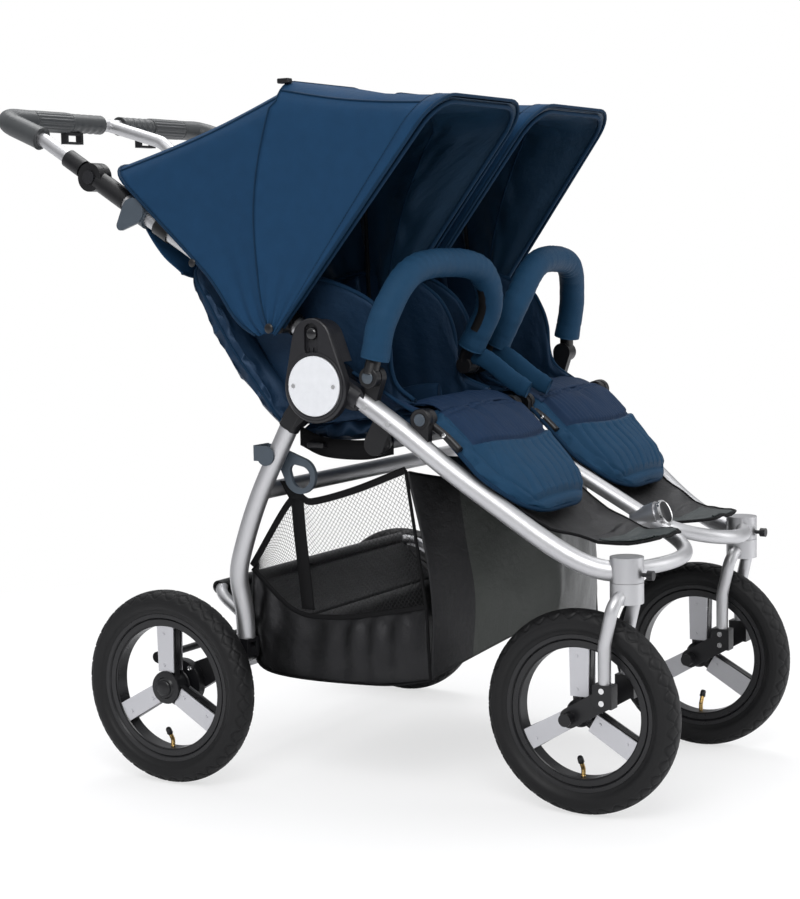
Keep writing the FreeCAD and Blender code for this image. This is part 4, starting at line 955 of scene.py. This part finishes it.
def seat_wings(side, s):
    """Side walls of a seat: a wing fixed to the frame, and a fan on the seat back that slides past it."""
    low = curve_points([(0, -180, 562), (0, -240, 566), (0, -300, 574), (0, -350, 584), (0, -392, 600)], 60)
    t = np.linspace(0, 1, 20)[None, :]
    thick = 5.0 * hump(t) + 3.2 * ripple((60, 20), (9, 4), 141 + s)
    thick += 2.6 * np.sin(np.linspace(0, 40, 60))[:, None] * (1 - t) ** 1.5
    for tag, x, reach, inward in (("out", 264.0, -352.0, -1), ("in", 27.5, -332.0, 1)):
        rim = [(-50, 752), (-105, 776), (-175, 790), (-245, 782), (reach + 36, 754), (reach + 12, 724),
               (reach, 690), (reach - 3, 650), (reach - 14, 624), (-394, 604)]
        high = curve_points([(0, y, z) for y, z in rim], 60)
        wall = low[:, None] * (1 - t[..., None]) + high[:, None] * t[..., None]
        wall[..., 0] = s * (x + thick * inward * 0.6)
        high[:, 0] = s * x
        cloth = sheet(f"seat_wing_{tag}_{side}", wall, "seat", "front_frame", 5.0, 0.0)
        cord = tube(f"seat_wing_piping_{tag}_{side}", high[6:], 3.4, "piping", "front_frame", 10)
        squash_all((cloth, cord))
        angles = np.radians(np.linspace(53.0, 84.0, 12))[:, None]
        radius = np.linspace(0.1, 1.0, 24)[None] * (226.0 - 110.0 * np.linspace(1.0, 0.0, 12)[:, None] ** 2)
        flat = np.full((12, 24), s * (x + 5.0 * inward))
        fan = np.stack([flat, -180 + np.cos(angles) * radius, 560 + np.sin(angles) * radius], 2)
        sheet(f"seat_fan_{tag}_{side}", fan, "seat", "seat_back_" + side, 2.0, 0.0)


def padded(t, ang):
    """Outline of a padded strap: thinner at both ends, and gathered a little along it."""
    ends = smooth_step(t * 10) * smooth_step((1 - t) * 10)
    return np.broadcast_to(0.86 + 0.14 * ends + 0.05 * np.abs(np.sin(t * 30)), np.broadcast(t, ang).shape)


def seat_edges(side, s):
    """Piped fabric over the seat edge, the padded strap inboard, and the strap under the seat."""
    body = "front_frame"
    high = [(s * 291, -304, 646), (s * 291, -356, 618), (s * 288, -406, 590), (s * 280, -430, 586)]
    low = [(s * 262, -304, 600), (s * 262, -356, 596), (s * 262, -406, 586), (s * 262, -430, 582)]
    high = curve_points(high, 34)
    flap = between(high, curve_points(low, 34), 34, 8)
    flap[..., 2] += 4.0 * hump(np.linspace(0, 1, 8))[None] + 1.2 * ripple((34, 8), (9, 3), 151 + s)
    sheet(f"seat_edge_{side}", flap, "pad_dark", body, 3.0, 0.0)
    tube(f"seat_edge_piping_{side}", high, 2.8, "piping", body, 10)
    strap = [(s * 37, -350, 664), (s * 36, -392, 652), (s * 36, -440, 619), (s * 36, -468, 604)]
    tube(f"hip_pad_{side}", curve_points(strap, 40), 15.0, "pad", body, 20, flat=0.36, shape=padded)
    under = [(s * 274, -196, 546), (s * 274, -240, 530), (s * 274, -310, 528), (s * 274, -362, 538)]
    ribbon(f"under_strap_{side}", curve_points(under, 30), 30.0, body, (0.0, 0.0, 1.0))
    block(f"under_buckle_{side}", (s * 274, -230, 533), (26, 30, 9), "black", body, 3.0)


def harness(side, s, back_body):
    """Shoulder straps with pads on the back, and the crotch strap lying on the cushion with its buckle."""
    body = "front_frame"
    for k, x in enumerate((-42.0, 42.0)):

        def on_back(*spots):
            """Points given by their distance up the seat back and their height over it."""
            return [BACK_FOOT + ACROSS * (s * BACK_X + x) + BACK_UP * t + BACK_NORMAL * h for t, h in spots]

        path = curve_points(on_back((36, 14), (110, 22), (190, 22), (262, 19)), 26)
        strap = tube(f"shoulder_strap_{k}_{side}", path, 12.0, "webbing", back_body, 12, flat=0.12)
        if k == 0:
            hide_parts("harness_" + side)
        path = curve_points(on_back((128, 25), (180, 27), (236, 24)), 22)
        tube(f"shoulder_pad_{k}_{side}", path, 19.0, "seat", back_body, 20, flat=0.32)
        block(f"strap_slider_{k}_{side}", on_back((104, 25))[0], (30, 8, 20), "black", back_body, 2.0, -35)
    x = s * 148.0
    path = curve_points([(x, -372, 600), (x, -345, 599), (x, -318, 594), (x, -300, 590)], 24)
    sleeve = tube(f"crotch_sleeve_{side}", path, 21.0, "seat", body, 20, flat=0.3)
    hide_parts("crotch_straps")
    block(f"buckle_{side}", (x, -283, 589), (48, 36, 14), "black", body, 4.0, -9)
    turned(f"buckle_button_{side}", [(0, 0), (0, 8.5), (1.5, 8.5), (2.4, 7), (2.6, 0)], (x, -284, 595.5),
           (0, -0.16, 1.0), "slate", body, 28)


BUMPER_PIVOT = (-357, 642)
ZIP_PART = slice(112, 140)


def bumpers():
    for side, s in SIDES:
        body = "bumper_" + side
        bend = [(321.5, -361, 668), (316, -374, 728), (270, -392, 792), (180, -402, 806), (92, -414, 793),
                (46, -405, 738), (43, -370, 670)]
        path = curve_points([(s * x, y, z) for x, y, z in bend], 150)

        def gathers(t, ang):
            """Folds on the inner side of the bend, a thicker hem at both ends and the groove of its seam."""
            curved = smooth_step((t - 0.22) / 0.12) * smooth_step((0.92 - t) / 0.1)
            folds = np.sin(t * 2 * np.pi * 34 + 1.6 * np.sin(ang)) * 0.045 * curved
            folds = folds * (0.5 + 0.5 * np.cos(ang - 2.2))
            end = np.minimum(t, 1 - t)
            hem = 0.03 * bell(end, 0.012, 0.012) - 0.035 * bell(end, 0.045, 0.004)
            return 1.0 + folds + hem + 0.022 * ripple((150, 24), (46, 5), 81 + s)

        wrap = tube(f"bumper_wrap_{side}", path, 21.5, "pad", body, 24, shape=gathers)
        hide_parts("bumper_bar_" + side)
        strip = path[ZIP_PART]
        toward = np.array([s * 180.0, -390.0, 700.0]) - strip
        toward /= np.linalg.norm(toward, axis=1)[:, None]
        tube(f"bumper_zip_{side}", strip + toward * 15.5, 8.5, "webbing", body, 14)
        ends = (
            ("out", 336.0, 321.8, 15.5, (s * 321.5, -361, 671)),
            ("in", 46.0, 20.8, 13.5, (s * 43, -369, 672)),
        )
        for tag, x0, x1, r, foot in ends:
            mid = pivot_eye(f"bumper_pivot_{tag}_{side}", s * x0, s * x1, *BUMPER_PIVOT, r, body)
            neck = curve_points([(mid, -357, 645), ((mid + foot[0]) / 2, -359, 658), foot], 12)
            tube(f"bumper_neck_{tag}_{side}", neck, 11.5, "black", body, 18)
        turned(f"bumper_button_{side}", [(0, 0), (0, 9), (1.4, 9.2), (2.4, 8), (2.6, 0)],
               (s * 336.0, *BUMPER_PIVOT), (s, 0, 0), "slate", body, 32)


# ---------------------------------------------------------------- footwells and basket

NET_CELLS = (92, 50)
NET_CORD = 0.9
BASKET_X = 291.0
FRONT_WALL_X = 289.0
# Distance from the middle beyond which the basket front is painted black as the deep shade of its open
# inside.
PAINTED_SHADE_X = 209.4


def side_tube(y):
    """Distance of the side tube's centre line from the middle plane at a given y, and its height."""
    ys = [-708, -682, -626, -541, -470, -398, -364, -334]
    xs = [229, 239, 252, 275, 297, 313, 315, 315]
    zs = [364, 367, 391.5, 452, 507, 565, 588, 607]
    return np.interp(y, ys, xs), np.interp(y, ys, zs)


def footwells():
    """Slings under the feet, with a ribbed mat at the toes and piping on their free edges."""
    body = "front_frame"
    k = np.linspace(0, 1, 34)
    for side, s in SIDES:
        rows = []
        for y in np.linspace(-452, -736, 46):
            z = np.interp(y, [-736, -700, -668, -600, -500, -452], [403, 399, 398, 423, 489, 524])
            tube_x, tube_z = side_tube(y)
            outer = [150, 183, 190, 208, tube_x - 18, tube_x - 17]
            out_x = np.interp(y, [-736, -726, -700, -680, -600, -452], outer)
            out_z = z if y < -680 else max(z, tube_z + 6)
            in_x = np.interp(y, [-736, -728, -712, -690, -650, -620, -452], [72, 54, 45, 41, 36, 27, 22])
            sag = hump(k) * (14.0 if y > -640 else 6.0) * min(1.0, (y + 740) / 60.0)
            height = z + (out_z - z) * k**2 - sag
            rows.append(np.stack([s * (in_x + (out_x - in_x) * k), np.full_like(k, y), height], 1))
        pts = np.array(rows)
        pts[..., 2] += ripple(pts.shape[:2], (9, 5), 91 + s) * 2.4
        sling = sheet(f"footwell_{side}", pts, "nylon", body, 1.6, 0.0, 1)
        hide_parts("footrests")
        ring = np.vstack([pts[:, -1], pts[-1, ::-1][1:], pts[::-1, 0][1:]])
        tube(f"footwell_piping_{side}", ring[::2], 2.4, "webbing", body, 8)
        mat = pts[33:45, 3:-3] + np.array([0, 0, 2.6])
        sheet(f"toe_mat_{side}", mat, "mat", body, 2.2, 1.0, 1)
        tube(f"toe_mat_edge_{side}", mat[-1][2:-2], 2.0, "mat", body, 8)


def open_net(name, points, body):
    """Real open mesh: thin cords on both diagonals of a fine grid laid over the given one."""
    nu, nv = NET_CELLS
    rows, cols = np.arange(points.shape[0]), np.arange(points.shape[1])
    grid = resample(points, rows, cols, np.linspace(0, rows[-1], nu), np.linspace(0, cols[-1], nv))
    faces = []
    for i in range(nu - 2):
        for j in range(1, nv - 1):
            if (i + j) % 2:
                faces.append((i * nv + j, (i + 1) * nv + j - 1, (i + 2) * nv + j, (i + 1) * nv + j + 1))
    net = add(name, grid.reshape(-1, 3), faces, "net", body)
    cords = net.modifiers.new("cords", "WIREFRAME")
    cords.thickness = NET_CORD * MM
    cords.use_even_offset = False
    return net


def basket():
    soft = []
    body = "front_frame"
    top = [(0, -112, 341), (0, -189, 449), (0, -225, 447), (0, -301, 468), (0, -392, 503)]
    lip = [(0, -112, 336), (0, -188, 277), (0, -260, 271), (0, -340, 283), (0, -424, 300)]
    floor = [(0, -108, 231), (0, -139.5, 176), (0, -329, 173), (0, -429, 189)]
    bands = (
        ("rim", curve_points(top, 60), 5.5),
        ("elastic", curve_points(lip, 60), 4.0),
        ("seam", straight_points([top[-1], lip[-1], floor[-1]], 30), 4.0),
        ("foot", curve_points(floor, 50), 3.0),
    )
    for side, s in SIDES:
        net = between(curve_points(top, 40), curve_points(lip, 40), 40, 20)
        net[..., 0] = s * (290 - 5 * hump(np.linspace(0, 1, 20))[None])
        soft.append(open_net(f"basket_net_{side}", net, body))
        pocket = between(curve_points(lip, 72), curve_points(floor, 72), 72, 22)
        u, v = np.linspace(0, 1, 72)[:, None], np.linspace(0, 1, 22)[None]
        folds = np.sin(u * 2 * np.pi * 7 + 1.5 * np.sin(u * 9)) * 3.6 * (1 - v) ** 0.6 * smooth_step(v * 6)
        pocket[..., 0] = s * (288.5 + 7.0 * hump(v * 1.05) + folds + ripple((72, 22), (10, 5), 101 + s) * 2.0)
        soft.append(sheet(f"basket_pocket_{side}", pocket, "nylon", body, 1.2, subdivide=1))
        for tag, path, radius in bands:
            path = path + np.array([s * BASKET_X, 0, 0])
            soft.append(tube(f"basket_{tag}_{side}", path, radius, "webbing", body, 10, flat=0.45))
        strap = straight_points([(s * 293, -200, 449), (s * 294, -204, 400), (s * 293, -216, 280)], 24)
        soft.append(ribbon(f"basket_strap_{side}", strap, 22.0, body))
        hang = straight_points([(s * 293, -198, 446), (s * 288, -176, 476)], 12)
        soft.append(ribbon(f"basket_hanger_{side}", hang, 20.0, body))
    wall, under = [], []
    for x in np.linspace(-FRONT_WALL_X, FRONT_WALL_X, 70):
        bulge = (1 - abs(x) / FRONT_WALL_X) ** 0.8
        low = np.array([x, -429 - 68 * bulge, 189 + 58 * bulge])
        rim = (x, -392 - 104 * bulge, 503 - 54 * bulge)
        wall.append(curve_points([rim, (x, -431 - 74 * bulge, 318.0), low], 26))
        under.append(straight_points([low, (x, -329, 173), (x, -139.5, 176), (x, -108, 231)], 22))
    wall = np.array(wall)
    wall[..., 1] += ripple((70, 26), (11, 3), 111) * 4.5 * hump(np.linspace(0, 1, 26))[None]
    tail = between([(-289, -108, 231), (289, -108, 231)], [(-282, -47, 296), (282, -47, 296)], 50, 12)
    tail[..., 2] -= 6 * hump(np.linspace(0, 1, 12))[None]
    front = front_wall(wall, body)
    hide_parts("basket")
    soft += [
        front,
        sheet("basket_floor", np.array(under), "nylon", body, 1.4),
        sheet("basket_tail", tail, "nylon", body, 1.2),
    ]
    squash_all(soft)
    sleeve = curve_points([(-284, -40, 300), (-200, -40, 300), (200, -40, 300), (284, -40, 300)], 60)
    tube("bar_sleeve", sleeve, 10.6, "nylon", "rear_frame")


def front_wall(wall, body):
    """Front panel of the basket: grey-green in the middle, with both ends given the black nylon as painted
    shade for the dark open inside.
    """
    panel = sheet("basket_front", wall, ["olive", "nylon"], body, 1.4, subdivide=1)
    panel.modifiers["thick"].material_offset = 0
    # Painted shade: faces beyond this distance take the black nylon in place of the grey-green.
    painted_shade = np.abs(face_centres(panel.data)[:, 0]) > PAINTED_SHADE_X
    panel.data.polygons.foreach_set("material_index", painted_shade.astype(np.int32))
    return panel


# ---------------------------------------------------------------- handle, hubs and cap

BAR_Y, BAR_Z = 378.0, 1052.0
HUB_Y, HUB_Z = -268, 628
BUTTON_Y, BUTTON_Z = -263.5, 706
CAP_AXIS = np.array([0.0, -0.9216, 0.3881])
CAP_FOOT = np.array([0.0, -678.8, 417.9])


def corner_shape(t, ang):
    """A thicker lip at the start of a grip and a slight taper at its end."""
    lip = 1.0 + 0.05 * bell(t, 0.0, 0.02) - 0.03 * smooth_step((t - 0.75) / 0.2)
    return np.broadcast_to(lip, np.broadcast(t, ang).shape)


def rib_shape(t, ang):
    """Eighteen ribs along a grip, fading out at both ends."""
    return 1.0 + 0.035 * np.cos(ang * 18) * smooth_step(t * 12) * smooth_step((1 - t) * 12)


def finger_shape(t, ang):
    """Five finger hollows under a grip."""
    hollow = (0.5 + 0.5 * np.cos(2 * np.pi * t * 5)) * (0.5 - 0.5 * np.sin(ang + 0.5))
    return 0.97 - 0.13 * hollow * smooth_step(t * 14) * smooth_step((1 - t) * 14)


def grips():
    for side, s in SIDES:
        corner, rib, finger, end = [(s * x, BAR_Y, BAR_Z) for x in (284, 206, 112, 27)]
        bend = curve_points(rounded_corners([(s * 284, 290, 1015.6), corner, rib], 62.0, 14), 60)
        parts = (
            ("corner", bend, 18.2, 28, corner_shape),
            ("ribbed", straight_points([rib, finger], 24), 17.4, 108, rib_shape),
            ("finger", straight_points([finger, end], 72), 17.2, 28, finger_shape),
        )
        for tag, path, radius, sides, shape in parts:
            grip = tube(f"grip_{tag}_{side}", path, radius, "grip", "handlebar", sides, shape=shape)
            if (tag, side) == ("corner", "right"):
                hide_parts("grips")


def hub_details():
    """Domed fold buttons, ribs in their channels and the lip round each plain disc."""
    for side, s in SIDES:
        dome = [(0, 0), (0, 9.4), (2.4, 9.6), (4.4, 8.6), (5.8, 6.2), (6.4, 3.0), (6.5, 0)]
        button = turned(f"fold_button_{side}", dome, (s * 337.4, BUTTON_Y, BUTTON_Z), (s, 0, 0), "gloss",
                        "fold_buttons", 44)
        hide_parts("fold_sliders")
        for k in range(3):
            place = (s * 337.2, BUTTON_Y + (k - 1) * 8.0, 681)
            block(f"channel_rib_{k}_{side}", place, (2.6, 2.2, 8), "charcoal", "front_frame", 0.7)
        lip = [(0, 45.5), (0, 50.5), (2.2, 50.0), (3.0, 48.6), (2.6, 46.2), (0, 45.5)]
        turned(f"disc_lip_{side}", lip, (s * 341.2, HUB_Y, HUB_Z), (s, 0, 0), "charcoal", "front_frame", 72)


def knuckle_cap():
    """Round cap on the front knuckle: a polished ring round a plain domed face."""
    ring = [(0, 0), (0, 19.6), (1.4, 20.4), (4.0, 19.8), (5.2, 18.2), (4.6, 17.0), (3.8, 0)]
    face = [(0, 0), (0, 16.8), (0.8, 16.6), (2.2, 12.0), (2.8, 5.0), (2.9, 0)]
    turned("knuckle_ring", ring, CAP_FOOT, CAP_AXIS, "chrome", "front_frame", 56)
    turned("knuckle_face", face, CAP_FOOT + CAP_AXIS * 3.8, CAP_AXIS, "black", "front_frame")


# ---------------------------------------------------------------- studio; lengths here are metres

FLOOR_SIZE = 40.0
LOOK_AT = Vector((0, -0.25, 0.55))
CAMERA_PLACE = (-2.7909, -1.8704, 0.8411)
CAMERA_YAW, CAMERA_PITCH, CAMERA_ROLL = math.radians(59.2537), math.radians(-6.0427), -0.0178
CAMERA_LENS, SENSOR_HEIGHT = 79.15, 36.0


def show(name, data, location):
    """A stage object at a place."""
    obj = bpy.data.objects.new(name, data)
    obj.location = location
    bpy.context.scene.collection.objects.link(obj)
    return obj


def area(name, energy, size_m, location):
    """A soft rectangular light turned to the object."""
    data = bpy.data.lights.new(name, "AREA")
    data.energy = energy
    data.shape = "RECTANGLE"
    data.size, data.size_y = size_m
    light = show(name, data, location)
    light.rotation_euler = (LOOK_AT - Vector(location)).to_track_quat("-Z", "Y").to_euler()


def floor_material():
    """Pale floor; the camera sees it melt into the white backdrop, with softer shadows near the object."""
    mat = bpy.data.materials.new("studio_floor")
    mat.use_nodes = True
    tree = mat.node_tree
    bsdf = tree.nodes["Principled BSDF"]
    bsdf.inputs["Base Color"].default_value = (0.90, 0.90, 0.91, 1)
    bsdf.inputs["Roughness"].default_value = 0.6
    glow = node(tree, "ShaderNodeEmission", Strength=1.0)
    mix = node(tree, "ShaderNodeMixShader")
    place = node(tree, "ShaderNodeNewGeometry")
    away = node(tree, "ShaderNodeVectorMath", operation="DISTANCE")
    away.inputs[1].default_value = (0.0, -0.3, 0.0)
    spread = {"From Min": 0.7, "From Max": 1.9, "To Min": 0.66, "To Max": 1.0}
    fade = node(tree, "ShaderNodeMapRange", **spread)
    path = node(tree, "ShaderNodeLightPath")
    melt = math_node(tree, "MULTIPLY", fade.outputs["Result"], path.outputs["Is Camera Ray"])
    wire(tree, (place.outputs["Position"], away.inputs[0]), (away.outputs["Value"], fade.inputs["Value"]),
         (melt, mix.inputs[0]), (bsdf.outputs[0], mix.inputs[1]), (glow.outputs[0], mix.inputs[2]),
         (mix.outputs[0], tree.nodes["Material Output"].inputs["Surface"]))
    return mat


def backdrop():
    """White behind the object for the camera, and a soft grey-to-white sky for its light."""
    world = bpy.data.worlds.new("studio_world")
    bpy.context.scene.world = world
    world.use_nodes = True
    tree = world.node_tree
    coords = node(tree, "ShaderNodeTexCoord")
    split = node(tree, "ShaderNodeSeparateXYZ")
    ramp = node(tree, "ShaderNodeValToRGB")
    path = node(tree, "ShaderNodeLightPath")
    pick = node(tree, "ShaderNodeMixRGB")
    low, high = ramp.color_ramp.elements
    low.position, low.color = 0.0, (0.22, 0.22, 0.23, 1)
    high.position, high.color = 0.85, (0.85, 0.86, 0.88, 1)
    pick.inputs[2].default_value = (1.0, 1.0, 1.0, 1)
    wire(tree, (coords.outputs["Generated"], split.inputs[0]), (split.outputs[2], ramp.inputs[0]),
         (path.outputs["Is Camera Ray"], pick.inputs[0]), (ramp.outputs[0], pick.inputs[1]),
         (pick.outputs[0], tree.nodes["Background"].inputs["Color"]))


def studio():
    bpy.context.scene.view_settings.view_transform = "Standard"
    half = FLOOR_SIZE / 2
    mesh = bpy.data.meshes.new("studio_floor")
    corners = [(-half, -half, 0), (half, -half, 0), (half, half, 0), (-half, half, 0)]
    mesh.from_pydata(corners, [], [(0, 1, 2, 3)])
    mesh.materials.append(floor_material())
    show("studio_floor", mesh, (0, 0, 0))
    backdrop()
    area("key_light", 84, (2.0, 1.8), (-2.6, -1.5, 2.7))
    area("top_light", 70, (2.6, 2.2), (0.9, 0.5, 3.3))
    area("front_light", 36, (1.4, 2.4), (1.4, -3.4, 1.5))


def camera():
    """Camera matched to the reference view: place, yaw from the Y axis, pitch and roll."""
    flat = math.cos(CAMERA_PITCH)
    forward = Vector((math.sin(CAMERA_YAW) * flat, math.cos(CAMERA_YAW) * flat, math.sin(CAMERA_PITCH)))
    right = forward.cross(Vector((0, 0, 1))).normalized()
    up = right.cross(forward)
    c, s = math.cos(CAMERA_ROLL), math.sin(CAMERA_ROLL)
    data = bpy.data.cameras.new("camera")
    data.sensor_fit = "VERTICAL"
    data.sensor_height = SENSOR_HEIGHT
    data.lens = CAMERA_LENS
    obj = bpy.data.objects.new("camera", data)
    turn = Matrix((right * c + up * s, up * c - right * s, -forward)).transposed()
    obj.matrix_world = Matrix.Translation(CAMERA_PLACE) @ turn.to_4x4()
    bpy.context.scene.collection.objects.link(obj)
    bpy.context.scene.camera = obj


finish_cad_nodes()
wheels()
canopies()
leg_rests()
seats()
bumpers()
footwells()
basket()
grips()
hub_details()
knuckle_cap()
studio()
camera()
